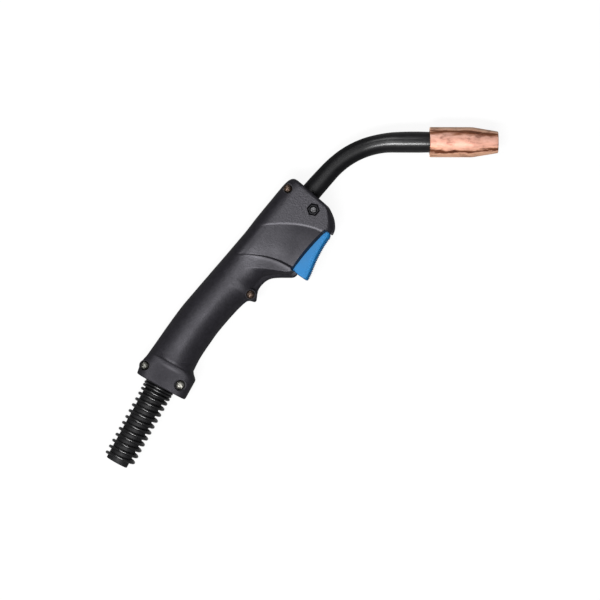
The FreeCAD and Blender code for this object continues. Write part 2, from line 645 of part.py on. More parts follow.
def cavity_half():
    # The hollow inside one shell, less its ribs, guides and bosses.
    wall = size("shellWall")
    least = wall / 2
    inset = [(at, back - wall, front - wall, max(back_round - wall, least), max(front_round - wall, least),
              half - wall) for at, back, front, back_round, front_round, half in handle_stations()[4:14]]
    cavity = Part.makeLoft([half_section(*station) for station in inset], True, True)
    thick = size("handleThickness") / 2
    rib = size("ribWidth")
    beyond = size("handleThickness")
    slot = size("triggerWidth") / 2 + size("triggerGap")
    hollow = size("noseHeight") + 16
    guide = Part.makeBox(size("lipAt") - wall / 3 - hollow, beyond, beyond,
                         Vector(hollow, size("switchTop") - wall, slot))
    boss = Part.makeCylinder(size("screwShank") / 2 + rib, thick, screw_places()[1])
    under_switch = size("switchTop") - size("switchHeight")
    block_rib = Part.makeBox(rib, beyond + under_switch - wall - 1, thick,
                             Vector(size("neckSeat") + 12, -beyond, 0))
    grip_rib = Part.makeBox(rib, 2 * beyond, thick, Vector(size("handleLength") * 0.67, -beyond, 0))
    ledge = wall * 0.6
    foot = spring_foot()
    shelf = Part.makeBox(8, ledge, thick, Vector(foot.x - 4, foot.y - ledge, 0))
    kept = [guide, boss, block_rib, grip_rib, shelf]
    for peg in switch_pegs():
        inner = Vector(peg.x, peg.y, size("switchWidth") / 2 + size("fitGap"))
        kept.append(Part.makeCylinder(rib, thick, inner))
    return cavity.cut(kept)


def switch_front():
    return size("pivotAt") + size("plungerArm") - 4


def switch_pegs():
    low = size("switchTop") - size("switchHeight") + 1.5
    inset = 1.9
    return [Vector(switch_front() + inset, low, 0),
            Vector(switch_front() + size("switchLength") - inset, low, 0)]


def spring_foot():
    # Where the trigger's spring stands on its shelf, behind the switch.
    under_switch = size("switchTop") - size("switchHeight")
    return Vector(switch_front() + size("switchLength") + 4.7, under_switch + 0.2, 0)


def trigger_slot():
    half = size("triggerWidth") / 2 + size("triggerGap")
    low = size("pivotOut") - size("pinDiameter") / 2 - 2.4
    start = size("pivotAt") - size("pinDiameter") / 2 - 2.4
    wide = size("lipAt") - 1 - start
    return Part.makeBox(wide, 40, 2 * half, Vector(start, low, -half))


def round_hole(radius, at, length, way=Z_AXIS):
    return Part.makeCylinder(radius, length, at, way)


def shell_holes():
    # Everything bored through or into both shells, about the middle plane.
    thick = size("handleThickness") / 2
    gap = size("fitGap")
    along = Vector(1, 0, 0)
    relief_way = end_place.Rotation.multVec(along)
    seat = size("sleeveSeat")
    sag = -size("sleeveSag")
    sleeve = size("sleeveDiameter") / 2
    loose = size("looseGap")
    flange = size("sleeveFlange")
    room = 0.5
    union = size("unionAcross") / 2 / math.cos(math.radians(30))
    union_from = Vector(size("neckSeat") + size("blockLength") - size("unionThread"), 0, 0)
    holes = [round_hole(size("neckDiameter") / 2 + gap, Vector(-2, 0, 0), size("neckSeat") + 10, along),
             round_hole(size("blockRadius") + room, Vector(size("neckSeat"), 0, 0), size("blockLength"),
                        along),
             round_hole(union + room, union_from, size("unionLength") + 2, along),
             round_hole(size("springDiameter") / 2 + loose, end_point(-size("springSeat"), 0),
                        size("springSeat") + 5, relief_way),
             round_hole(sleeve + loose, end_point(-seat - 1, sag), seat + 2, relief_way),
             round_hole(sleeve + flange + loose, end_point(-seat - loose, sag), flange + 1, relief_way),
             round_hole(size("cableBore") / 2 + loose, end_point(-seat - 24, sag), 26, relief_way)]
    pin_seat = size("triggerWidth") / 2 + size("pinDiameter")
    pin = Vector(size("pivotAt"), size("pivotOut"), -pin_seat)
    holes.append(round_hole(size("pinDiameter") / 2 + gap, pin, 2 * pin_seat))
    bolt = Vector(size("boltAt"), size("boltOut"), 0)
    holes.append(round_hole(size("boltDiameter") / 2 + gap, bolt - Vector(0, 0, 2 * thick), 4 * thick))
    tip = size("screwReach") + 1
    head = thick - size("screwDepth") - size("screwHeadHeight")
    for place in screw_places():
        holes.append(round_hole(size("screwShank") / 2 + gap, place - Vector(0, 0, tip), tip + head))
        holes.append(round_hole(size("screwHead") / 2 + room, place + Vector(0, 0, head), thick))
    nut_floor = thick - size("nutHeight") - size("nutDepth")
    corner = (size("nutAcross") / 2 + loose / 2) / math.cos(math.radians(30))
    corners = []
    for k in range(6):
        turned_to = k * math.pi / 3
        corners.append(bolt + Vector(corner * math.cos(turned_to), corner * math.sin(turned_to), nut_floor))
    holes.append(Part.Face(Part.makePolygon(corners + corners[:1])).extrude(Vector(0, 0, thick)))
    holes.append(round_hole(size("boltDiameter") * 0.95, bolt - Vector(0, 0, 2 * thick),
                            thick + size("boltDepth")))
    return holes


def add_handle():
    outer = outer_half().cut([panel_tool()])
    cavity = cavity_half()
    near = outer.cut(cavity)
    far = near.mirror(Vector(), Z_AXIS)
    tools = [mouth_tool(), trigger_slot()] + shell_holes()
    peg_length = size("switchWidth") / 2 + 1
    pegs = [Part.makeCylinder(size("pegRadius"), peg_length, peg + Vector(0, 0, 2 * size("fitGap")))
            for peg in switch_pegs()]
    for label, half, side in (("handle_near", near, 1), ("handle_far", far, -1)):
        shell = half.cut(tools)
        sided = [peg if side > 0 else peg.mirror(Vector(), Z_AXIS) for peg in pegs]
        shell = shell.fuse(sided)
        if len(shell.Solids) != 1:
            raise RuntimeError(f"{label} came out as {len(shell.Solids)} solids")
        node(shaped(label, shell.Solids[0]))


def add_fasteners():
    thick = size("handleThickness") / 2
    height, tip = size("screwHeadHeight"), size("screwReach")
    seat = thick - size("screwDepth") - height
    radius, head = size("screwShank") / 2, size("screwHead") / 2
    point = radius * 0.6
    outline = [(0, -tip), (point, -tip), (radius, 2 * point - tip), (radius, seat), (head, seat),
               (head, seat + height / 2), (head - point, seat + height - point / 3), (0, seat + height),
               (0, -tip)]
    profile = Part.makePolygon([Vector(out, 0, up) for out, up in outline])
    blank = Part.Face(profile).revolve(Vector(), Z_AXIS, 360)
    long, narrow = head * 1.06, head * 0.24
    slots = [Part.makeBox(long, narrow, height, Vector(-long / 2, -narrow / 2, seat + height / 2)),
             Part.makeBox(narrow, long, height, Vector(-narrow / 2, -long / 2, seat + height / 2))]
    screw = blank.cut(slots)
    screws = []
    for place in screw_places():
        copy = screw.copy()
        copy.translate(place)
        screws.append(copy)
    node(shaped("handle_screws", Part.makeCompound(screws)))

    bolt_at = Vector(size("boltAt"), size("boltOut"), -thick + size("boltDepth") - size("boltHead"))
    head_piece = cylinder("clamp_bolt_head", "boltDiameter * 0.85", "boltHead", bolt_at)
    shank = cylinder("clamp_bolt_shank", "boltDiameter / 2",
                     "handleThickness - boltDepth - nutDepth + edgeBreak",
                     bolt_at + Vector(0, 0, size("boltHead")))
    socket = hexagon("clamp_bolt_socket", "boltDiameter * 0.55", "boltHead * 0.7", bolt_at, Z_AXIS)
    node(cut("clamp_bolt", fused("clamp_bolt_blank", [head_piece, shank]), socket))
    nut_at = Vector(size("boltAt"), size("boltOut"),
                    thick - size("nutHeight") - size("nutDepth") + size("fitGap"))
    nut = hexagon("clamp_nut_blank", "nutAcross", "nutHeight", nut_at, Z_AXIS)
    hole = cylinder("clamp_nut_hole", "boltDiameter / 2 + fitGap", "nutHeight", nut_at)
    node(cut("clamp_nut", nut, hole))


def round_run(route, radius):
    # A wire of straight runs joined by tangent arcs that use 0.45 of the shorter run.
    edges = []
    start = route[0]
    for before, corner, after in zip(route, route[1:], route[2:]):
        back, ahead = before - corner, after - corner
        reach = 0.45 * min(back.Length, ahead.Length)
        back.normalize()
        ahead.normalize()
        leave, arrive = corner + back * reach, corner + ahead * reach
        edges.append(Part.LineSegment(start, leave).toShape())
        edges.append(arc_from(leave, back * -1, arrive))
        start = arrive
    edges.append(Part.LineSegment(start, route[-1]).toShape())
    spine = Part.Wire(edges)
    circle = Part.Circle(route[0], route[1] - route[0], radius)
    return spine.makePipeShell([Part.Wire(circle.toShape())], True, False)


# Trigger, its pin and spring, and the switch that it presses

def add_trigger_group():
    width = "triggerWidth"
    tail = "(lipAt - 2)"
    inner = f"switchTop + ({tail} - pivotAt) * sin(triggerTurn) + 0.8"
    press = "plungerArm * sin(triggerTurn)"
    nib = "(pivotAt + plungerArm)"
    ear = "(pinDiameter / 2 + 2)"
    outline = [("noseHeight + 3.3", "housingFront - 0.9"), ("noseHeight + 4.2", "housingFront + 0.3"),
               ("noseHeight + 11", "housingFront + 0.9"), (f"{tail} - 18", "triggerReach - 4.6"),
               (f"{tail} - 5.6", "triggerReach - 0.6"), (f"{tail} - 3", "triggerReach"),
               (f"{tail} - 1.2", "triggerReach - 0.7"), (tail, inner + " + 3"), (f"{tail} - 0.4", inner),
               (f"{nib} + 1.6", inner), (f"{nib} + 1.2", f"switchTop + {press} + 0.6"),
               (f"{nib} - 1.2", f"switchTop + {press} + 0.6"), (f"{nib} - 1.6", inner),
               (f"pivotAt + {ear} + 3", inner), (f"pivotAt + {ear}", "pivotOut - 0.4"),
               (f"pivotAt + {ear} * 0.7", f"pivotOut - {ear} * 0.7"), ("pivotAt", f"pivotOut - {ear}"),
               (f"pivotAt - {ear} * 0.7", f"pivotOut - {ear} * 0.7"), (f"pivotAt - {ear}", "pivotOut"),
               (f"pivotAt - {ear}", "housingFront - 4")]
    trigger = padded("trigger", outline, width)
    drilled(trigger, "pin_hole", "pinDiameter / 2 + fitGap", "pivotAt", "pivotOut")
    node(trigger)
    pin_half = size("triggerWidth") / 2 + size("pinDiameter") - 2 * size("fitGap")
    node(cylinder("trigger_pin", "pinDiameter / 2", "triggerWidth + 2 * pinDiameter - 4 * fitGap",
                  Vector(size("pivotAt"), size("pivotOut"), -pin_half)))

    low = size("switchTop") - size("switchHeight")
    first = switch_front()
    case = box("switch_case", "switchLength", "switchHeight", "switchWidth",
               Vector(first, low, -size("switchWidth") / 2))
    travel = size("plungerArm") * math.sin(math.radians(size("triggerTurn")))
    well_at = Vector(size("pivotAt") + size("plungerArm"), size("switchTop"), 0)
    down = Vector(0, -1, 0)
    holes = [cylinder("plunger_well", "plungerDiameter / 2 + fitGap", f"{press} + 2.05", well_at, down)]
    for number, peg in enumerate(switch_pegs()):
        holes.append(cylinder(f"peg_hole_{number}", "pegRadius + fitGap", "switchWidth + 2",
                              peg - Vector(0, 0, size("switchWidth") / 2 + 1)))
    node(cut("switch_body", case, fused("switch_holes", holes)))
    node(cylinder("switch_plunger", "plungerDiameter / 2", f"{press} + 2.2",
                  well_at + Vector(0, travel + 0.3, 0), down))

    radius, wire, turns = 3.0, 0.35, 5
    foot = spring_foot()
    pad = size("switchTop") + (size("lipAt") - 2 - size("pivotAt")) * travel / size("plungerArm") + 0.8
    rise = (pad - foot.y - 0.3 - 2 * wire) / turns
    coil = spring_shape(turns, lambda turn: rise * turn, radius, wire)
    upright = Rotation(Vector(1, 0, 0), Vector(0, 1, 0))
    node(shaped("trigger_spring", coil, Placement(foot + Vector(0, wire + 0.1, 0), upright)))


def add_switch_wiring():
    # Two blades under the switch, a lead from each back past the union nut, and a splice on its end.
    blades, leads, splices = [], [], []
    lead = size("leadDiameter") / 2
    spread = size("leadSpread")
    low = size("switchTop") - size("switchHeight")
    back = Vector(1, 0, 0)
    splice_from = size("neckSeat") + size("blockLength") + size("unionLength") + 4
    for side, along in ((-1, 2.0), (1, 7.4)):
        blade = Vector(switch_front() + along, low - 3, side * 2.4 - 0.3)
        blades.append(Part.makeBox(2.8, 3, 0.6, blade))
        start = blade + Vector(2.8, lead - 0.6, 0.3)
        splice = Vector(splice_from, start.y, side * spread)
        route = [start, start + back * 3, Vector(start.x + 7, start.y, side * spread),
                 splice + back * (size("spliceLength") / 2)]
        leads.append(round_run(route, lead))
        sleeve = Part.makeCylinder(size("spliceDiameter") / 2, size("spliceLength"), splice, back)
        depth = size("spliceLength") / 2 + 4 * size("fitGap")
        bore = Part.makeCylinder(lead + size("fitGap"), depth, splice - back * (2 * size("fitGap")), back)
        splices.append(sleeve.cut(bore))
    node(shaped("switch_terminals", Part.makeCompound(blades)))
    node(shaped("switch_leads", Part.makeCompound(leads)))
    node(shaped("lead_splices", Part.makeCompound(splices)))


# Coils: a round wire carried along arcs, two to each quarter turn

def helix_point(turn, climb, radius):
    angle = 2 * math.pi * turn
    return Vector(climb(turn), radius * math.cos(angle), radius * math.sin(angle))


def helix_way(turn, climb, radius):
    step = 0.0001
    way = helix_point(turn + step, climb, radius) - helix_point(turn - step, climb, radius)
    return way.normalize()


def arc_from(start, way, end):
    chord = end - start
    along = Vector(chord).normalize()
    side = (way - along * way.dot(along)).normalize()
    half_turn = math.acos(min(1, way.dot(along)))
    middle = (start + end) * 0.5 + side * (chord.Length / 2 * math.tan(half_turn / 2))
    return Part.Arc(start, middle, end).toShape()


def biarc(start, start_way, end, end_way):
    chord = end - start
    ways = start_way + end_way
    spread = 2 * (1 - start_way.dot(end_way))
    reach = (math.sqrt(chord.dot(ways) ** 2 + spread * chord.dot(chord)) - chord.dot(ways)) / spread
    middle = (start + end + (start_way - end_way) * reach) * 0.5
    return [arc_from(start, start_way, middle), arc_from(end, end_way * -1, middle)]


def spring_shape(turns, climb, radius, wire):
    edges = []
    for quarter in range(int(turns * 4)):
        before, after = quarter / 4, (quarter + 1) / 4
        edges += biarc(helix_point(before, climb, radius), helix_way(before, climb, radius),
                       helix_point(after, climb, radius), helix_way(after, climb, radius))
    spine = Part.Wire(Part.__sortEdges__(edges))
    section = Part.Circle(helix_point(0, climb, radius), helix_way(0, climb, radius), wire)
    pipe = Part.BRepOffsetAPI.MakePipeShell(spine)
    pipe.add(Part.Wire(section.toShape()))
    pipe.build()
    pipe.makeSolid()
    return pipe.shape()


def least_gap(turns, climb, radius, wire):
    # Between points on the wire's line that are most of a turn or more apart.
    count = 24
    points = [helix_point(k / count, climb, radius) for k in range(int(turns * count) + 1)]
    nearest = climb(turns)
    for i, point in enumerate(points):
        for other in points[i + count * 3 // 4:i + 2 * count]:
            nearest = min(nearest, (other - point).Length)
    return nearest - 2 * wire


# Strain relief behind the handle

def add_relief():
    sleeve = "sleeveDiameter / 2"
    tube = turned("cable_sleeve",
                  [("-sleeveSeat", "cableBore / 2"), ("-sleeveSeat", f"{sleeve} + sleeveFlange"),
                   ("-sleeveSeat + sleeveFlange", f"{sleeve} + sleeveFlange"),
                   ("-sleeveSeat + sleeveFlange", sleeve), ("reliefLength - edgeBreak", sleeve),
                   ("reliefLength", f"{sleeve} - edgeBreak"), ("reliefLength", "cableBore / 2")])
    tube.Placement = Placement(end_point(0, -size("sleeveSag")), end_place.Rotation)
    node(tube)
    wire = size("springWire") / 2
    radius = size("springDiameter") / 2 - wire
    pitch = size("springPitch")
    closed = size("springWire") + size("springClose")

    def climb(turn):
        # Close turns at the handle that open to the full pitch.
        ease = 1.3
        return pitch * turn - (pitch - closed) * ease * (1 - math.exp(-turn / ease))

    length = size("springSeat") + size("reliefLength") - 2 * (wire + size("looseGap"))
    turns = 1.0
    while climb(turns + 0.25) < length:
        turns += 0.25
    coil = spring_shape(turns, climb, radius, wire)
    gap = least_gap(turns, climb, radius, wire)
    print(f"strain relief spring: {turns} turns, least gap to itself {gap:.2f} mm")
    place = Placement(end_point(-size("springSeat") + wire + size("looseGap"), 0), end_place.Rotation)
    node(shaped("anti_kink_spring", coil, place))


add_neck()
add_front_end()
add_cable_joint()
add_handle()
add_fasteners()
add_trigger_group()
add_switch_wiring()
add_relief()
document.recompute()

# The torch lies with its middle plane level and its nozzle along +X, over the origin.
turn = Placement(Vector(), Rotation(Z_AXIS, 180 + size("handleLean")))
for piece in nodes:
    piece.Placement = turn.multiply(piece.Placement)
document.recompute()
bounds = FreeCAD.BoundBox()
for piece in nodes:
    bounds.add(piece.Shape.optimalBoundingBox())
shift = Vector(-bounds.Center.x, -bounds.Center.y, -bounds.ZMin)
for piece in nodes:
    piece.Placement = Placement(shift, Rotation()).multiply(piece.Placement)
document.recompute()
torch_place = Placement(shift, Rotation()).multiply(turn)

for item in document.Objects:
    if "Invalid" in item.State or "Error" in item.State:
        raise RuntimeError(f"{item.Name} did not build: {item.State}")
for piece in nodes:
    if piece.Shape.isNull() or not piece.Shape.isValid():
        raise RuntimeError(f"{piece.Label} has no valid shape")

os.makedirs("parts", exist_ok=True)
for piece in nodes:
    piece.Shape.exportStep(f"parts/{piece.Label}.step")

print(f"{len(nodes)} nodes, box {bounds.XLength:.1f} x {bounds.YLength:.1f} x {bounds.ZLength:.1f} mm")
relief_way = torch_place.Rotation.multVec(end_place.Rotation.multVec(Vector(1, 0, 0)))
sleeve_middle = (size("reliefLength") - size("sleeveSeat")) / 2
places = [("handle frame's origin", torch_place.Base),
          ("sleeve bore middle", torch_place.multVec(end_point(sleeve_middle, -size("sleeveSag")))),
          ("sleeve bore direction", relief_way),
          ("trigger pin", torch_place.multVec(Vector(size("pivotAt"), size("pivotOut"), 0))),
          ("plunger direction", torch_place.Rotation.multVec(Vector(0, -1, 0))),
          ("nozzle back", torch_place.multVec(nozzle_place.Base)),
          ("nozzle direction", torch_place.Rotation.multVec(nozzle_way)),
          ("collar flat", torch_place.multVec(end_point(-size("collarLength") / 2, 0)))]
for name, point in places:
    print(f"{name}: {point.x:.4f} {point.y:.4f} {point.z:.4f}")
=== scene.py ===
import json
import math

import bmesh
import bpy
import numpy as np
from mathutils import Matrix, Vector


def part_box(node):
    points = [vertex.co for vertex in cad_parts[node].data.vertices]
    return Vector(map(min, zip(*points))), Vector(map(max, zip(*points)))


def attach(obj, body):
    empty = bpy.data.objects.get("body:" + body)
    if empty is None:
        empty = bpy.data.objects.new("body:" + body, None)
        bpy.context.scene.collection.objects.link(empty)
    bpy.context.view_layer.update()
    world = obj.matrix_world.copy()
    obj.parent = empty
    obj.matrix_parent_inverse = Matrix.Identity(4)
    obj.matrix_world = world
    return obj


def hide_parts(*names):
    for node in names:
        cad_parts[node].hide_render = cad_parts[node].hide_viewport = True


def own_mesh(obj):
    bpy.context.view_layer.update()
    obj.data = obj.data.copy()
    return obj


# The dressed welding torch. Shapes are worked out in millimetres in the handle's frame (x back along
# the grip, y to the trigger, z out of the middle plane) and brought into the row frame in metres.

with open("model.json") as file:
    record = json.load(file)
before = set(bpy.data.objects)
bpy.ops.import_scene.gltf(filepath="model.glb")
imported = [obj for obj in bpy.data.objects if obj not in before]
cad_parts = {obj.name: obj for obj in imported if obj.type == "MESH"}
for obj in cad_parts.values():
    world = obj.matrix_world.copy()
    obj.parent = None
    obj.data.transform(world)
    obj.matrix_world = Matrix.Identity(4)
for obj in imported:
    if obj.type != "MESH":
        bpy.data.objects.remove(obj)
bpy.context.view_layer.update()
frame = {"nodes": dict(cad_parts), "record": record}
print("frame:", len(frame["nodes"]), "solids")

handleTurn = math.radians(229.5)
pinAt = (19.5, 24.5)
endwise, upright = (1, 0, 0), (0, 0, 1)


def spin(points, angle):
    # Turns points about Z.
    points = np.asarray(points, float)
    x = points[..., 0] * math.cos(angle) - points[..., 1] * math.sin(angle)
    y = points[..., 0] * math.sin(angle) + points[..., 1] * math.cos(angle)
    return np.stack([x, y, points[..., 2]], -1)


pinMiddle = np.sum(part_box("trigger_pin"), 0) / 2 * 1000
handleOrigin = pinMiddle - spin(np.array([*pinAt, 0.0]), handleTurn)
nozzleLow, nozzleHigh = np.array(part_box("nozzle"))
nozzleOrigin = np.array([nozzleLow[0], *((nozzleLow + nozzleHigh) / 2)[1:]]) * 1000


def fromHandle(points):
    # Handle frame to row frame: a turn about Z and a shift, then millimetres to metres.
    return (spin(points, handleTurn) + handleOrigin) / 1000


reliefAt = np.array([188.6, 8.7, 0.0])
reliefTurn = math.radians(11.7)


def fromRelief(points):
    # Strain relief's frame to row frame: its own turn and place in the handle's frame first.
    return fromHandle(spin(points, reliefTurn) + reliefAt)


def fromNozzle(points):
    # Nozzle frame to row frame: a shift only, because the nozzle points along X.
    return (np.asarray(points, float) + nozzleOrigin) / 1000


def newObject(name, data):
    # An object at the origin, in the scene.
    made = bpy.data.objects.new(name, data)
    bpy.context.scene.collection.objects.link(made)
    return made


# Camera, floor and light

viewSettings = {
    "image": 600,  # pixels each way
    "pixel": 0.77,  # millimetres
    "handleAt": (310.7, 192.3),  # the handle frame's origin, in pixels
    "roll": 0.0025,
    "distance": 2600.0,
    "sensor": 36.0,
}


def addCamera():
    # Looks straight down on the flank, at the photograph's scale in the handle's middle plane.
    given = viewSettings
    offset = (given["image"] / 2 - np.array(given["handleAt"])) * given["pixel"] * np.array([1, -1])
    data = bpy.data.cameras.new("camera")
    data.sensor_width = given["sensor"]
    data.lens = given["sensor"] * given["distance"] / (given["image"] * given["pixel"])
    data.clip_start, data.clip_end = 0.05, 20
    camera = newObject("camera", data)
    camera.location = (handleOrigin + np.array([*offset, given["distance"]])) / 1000
    camera.rotation_euler = (0, 0, given["roll"])
    bpy.context.scene.camera = camera


lampSettings = [
    # name, place and aim in metres, size across and along in metres, watts
    ("ceiling", (-0.4, 0.16, 1.45), (-0.03, 0.03, 0.02), (0.84, 0.84), 7.3),
    ("strip", (-0.2, -0.46, 1.42), (-0.2, 0.1, 0.02), (1.1, 0.28), 23.0),
    ("farSide", (-0.25, 1.2, 1.25), (0.0, 0.0, 0.02), (0.7, 0.7), 4.5),
]


def addLamps():
    # Oval lamps, each turned from its place to its aim.
    for name, place, aim, size, watts in lampSettings:
        data = bpy.data.lights.new(name, "AREA")
        data.shape = "ELLIPSE"
        data.size, data.size_y = size
        data.energy = watts
        lamp = newObject(name, data)
        lamp.location = place
        x, y, z = np.array(aim) - np.array(place)
        lamp.rotation_euler = (math.atan2(math.hypot(x, y), -z), 0, math.atan2(y, x) - math.pi / 2)


def emptyTree(owner):
    # The node tree of a material or world, cleared.
    owner.use_nodes = True
    owner.node_tree.nodes.clear()
    return owner.node_tree


def feed(tree, node, inputs):
    # Each input is a socket to link, or a number or colour to set.
    for name, value in dict(inputs).items():
        if isinstance(value, bpy.types.NodeSocket):
            tree.links.new(value, node.inputs[name])
        else:
            node.inputs[name].default_value = value


def addNode(tree, kind, inputs=(), **choices):
    # A shader node with its choices made and its inputs fed.
    node = tree.nodes.new("ShaderNode" + kind)
    for choice, value in choices.items():
        setattr(node, choice, value)
    feed(tree, node, inputs)
    return node


def maths(tree, operation, *values):
    # A product, sum or the like of sockets and numbers.
    return addNode(tree, "Math", dict(enumerate(values)), operation=operation).outputs[0]


def seenShare(tree, shown, mirrored):
    # How much of the white background a ray gets: all of it for the camera, some for gloss and glass.
    path = addNode(tree, "LightPath").outputs
    shares = [maths(tree, "MULTIPLY", path[ray], share) for ray, share in
              (("Is Camera Ray", shown), ("Is Glossy Ray", mirrored), ("Is Transmission Ray", mirrored))]
    return maths(tree, "MAXIMUM", shares[0], maths(tree, "MAXIMUM", *shares[1:]))


worldSettings = {"dim": 0.06, "mirrored": 0.1}


def addWorld():
    # A dim white world that the camera sees as full white.
    world = bpy.data.worlds.new("studio")
    bpy.context.scene.world = world
    tree = emptyTree(world)
    white = (1, 1, 1, 1)
    dim = addNode(tree, "Background", {"Color": white, "Strength": worldSettings["dim"]})
    full = addNode(tree, "Background", {"Color": white})
    mix = addNode(tree, "MixShader", {0: seenShare(tree, 1.0, worldSettings["mirrored"]),
                                      1: dim.outputs[0], 2: full.outputs[0]})
    addNode(tree, "OutputWorld", {0: mix.outputs[0]})


floorSettings = {"half": 3.0, "colour": (0.1, 0.1, 0.1, 1), "shown": 0.9, "mirrored": 0.1}


def addFloor():
    # A square that takes the shadow on a dark shade and glows white for the camera.
    given = floorSettings
    half = given["half"]
    mesh = bpy.data.meshes.new("floor")
    mesh.from_pydata([(-half, -half, 0), (half, -half, 0), (half, half, 0), (-half, half, 0)], [],
                     [(0, 1, 2, 3)])
    floor = newObject("floor", mesh)
    material = bpy.data.materials.new("floorWhite")
    tree = emptyTree(material)
    diffuse = addNode(tree, "BsdfDiffuse", {"Color": given["colour"]})
    glow = addNode(tree, "Emission", {"Strength": seenShare(tree, given["shown"], given["mirrored"])})
    both = addNode(tree, "AddShader", {0: diffuse.outputs[0], 1: glow.outputs[0]})
    addNode(tree, "OutputMaterial", {"Surface": both.outputs[0]})
    mesh.materials.append(material)


# Finishes

finishes = {}


def newFinish(name):
    # A bare material: its node tree, its shader and the places on the piece that patterns read.
    finishes[name] = bpy.data.materials.new(name)
    tree = emptyTree(finishes[name])
    shader = addNode(tree, "BsdfPrincipled")
    addNode(tree, "OutputMaterial", {"Surface": shader.outputs[0]})
    return tree, shader, addNode(tree, "TexCoord").outputs["Object"]


def noiseOn(tree, place, scale, stretch=(1, 1, 1), detail=4.0, rough=0.55):
    # A cloud of the given size, drawn out along an axis where its stretch is under one.
    stretched = addNode(tree, "Mapping", {"Vector": place, "Scale": stretch}).outputs["Vector"]
    return addNode(tree, "TexNoise", {"Vector": stretched, "Scale": scale, "Detail": detail,
                                      "Roughness": rough}).outputs["Fac"]


def ramp(tree, value, stops):
    # Colours at places from nought to one.
    node = addNode(tree, "ValToRGB", {"Fac": value})
    while len(node.color_ramp.elements) < len(stops):
        node.color_ramp.elements.new(0.5)
    for element, (place, colour) in zip(node.color_ramp.elements, stops):
        element.position = place
        element.color = (*colour, 1)
    return node.outputs["Color"]


def between(tree, value, low, high, start=0.3, end=0.7):
    # Brings a cloud's values into a range.
    return addNode(tree, "MapRange", {"Value": value, "From Min": start, "From Max": end, "To Min": low,
                                      "To Max": high}).outputs["Result"]


def mixed(tree, factor, first, second, blend="MIX"):
    # Two colours, the second over the first by the factor.
    return addNode(tree, "Mix", {"Factor": factor, 6: first, 7: second}, data_type="RGBA",
                   blend_type=blend).outputs[2]


def raised(tree, shader, value, distance, under=None):
    # A bump of the given height in metres, over another bump where there is one.
    inputs = {"Height": value, "Distance": distance, "Strength": 1.0}
    if under:
        inputs["Normal"] = under.outputs["Normal"]
    bump = addNode(tree, "Bump", inputs)
    feed(tree, shader, {"Normal": bump.outputs["Normal"]})
    return bump


def sumOf(tree, first, parts):
    # Adds shares of other values to the first one.
    for value, amount in parts:
        first = maths(tree, "MULTIPLY_ADD", value, amount, first)
    return first


def along(tree, place, way, start, end):
    # How far a point is from start to end along a direction, as a share.
    level = addNode(tree, "VectorMath", {0: place, 1: tuple(way)}, operation="DOT_PRODUCT").outputs["Value"]
    return between(tree, level, 0, 1, float(np.dot(way, start)), float(np.dot(way, end)))


def inHandle(tree, place, middle, reach, turn=0.0):
    # Places measured from a middle on the handle, turned with it, in units of reach.
    return addNode(tree, "Mapping", {"Vector": place, "Location": tuple(fromHandle(middle)),
                                     "Rotation": (0, 0, handleTurn + turn),
                                     "Scale": [part / 1000 for part in reach]},
                   vector_type="TEXTURE").outputs["Vector"]


def patchOn(tree, place, middle, reach, turn=0.0):
    # One at the middle of a patch of the handle, falling to nought at its edge.
    spot = inHandle(tree, place, middle, reach, turn)
    return addNode(tree, "TexGradient", {"Vector": spot}, gradient_type="SPHERICAL").outputs["Fac"]


def pastArc(tree, place, arc):
    # Millimetres past the parabola through an arc's three points, along the handle, and the place across it.
    axes = addNode(tree, "SeparateXYZ", {0: inHandle(tree, place, (0, 0, 0), (1, 1, 1))}).outputs
    square, slope, flat = np.polyfit([y for x, y in arc], [x for x, y in arc], 2)
    level = maths(tree, "SUBTRACT", axes["X"], flat)
    bend = maths(tree, "MULTIPLY", axes["Y"], axes["Y"])
    return sumOf(tree, level, [(bend, -square), (axes["Y"], -slope)]), axes["Y"]


def hump(tree, value, stops):
    # A value between nought and one that follows (place, height) points, in millimetres.
    low, high = stops[0][0], stops[-1][0]
    share = between(tree, value, 0, 1, low, high)
    return ramp(tree, share, [((at - low) / (high - low), (height,) * 3) for at, height in stops])


bareMetal = {"Metallic": 1.0}

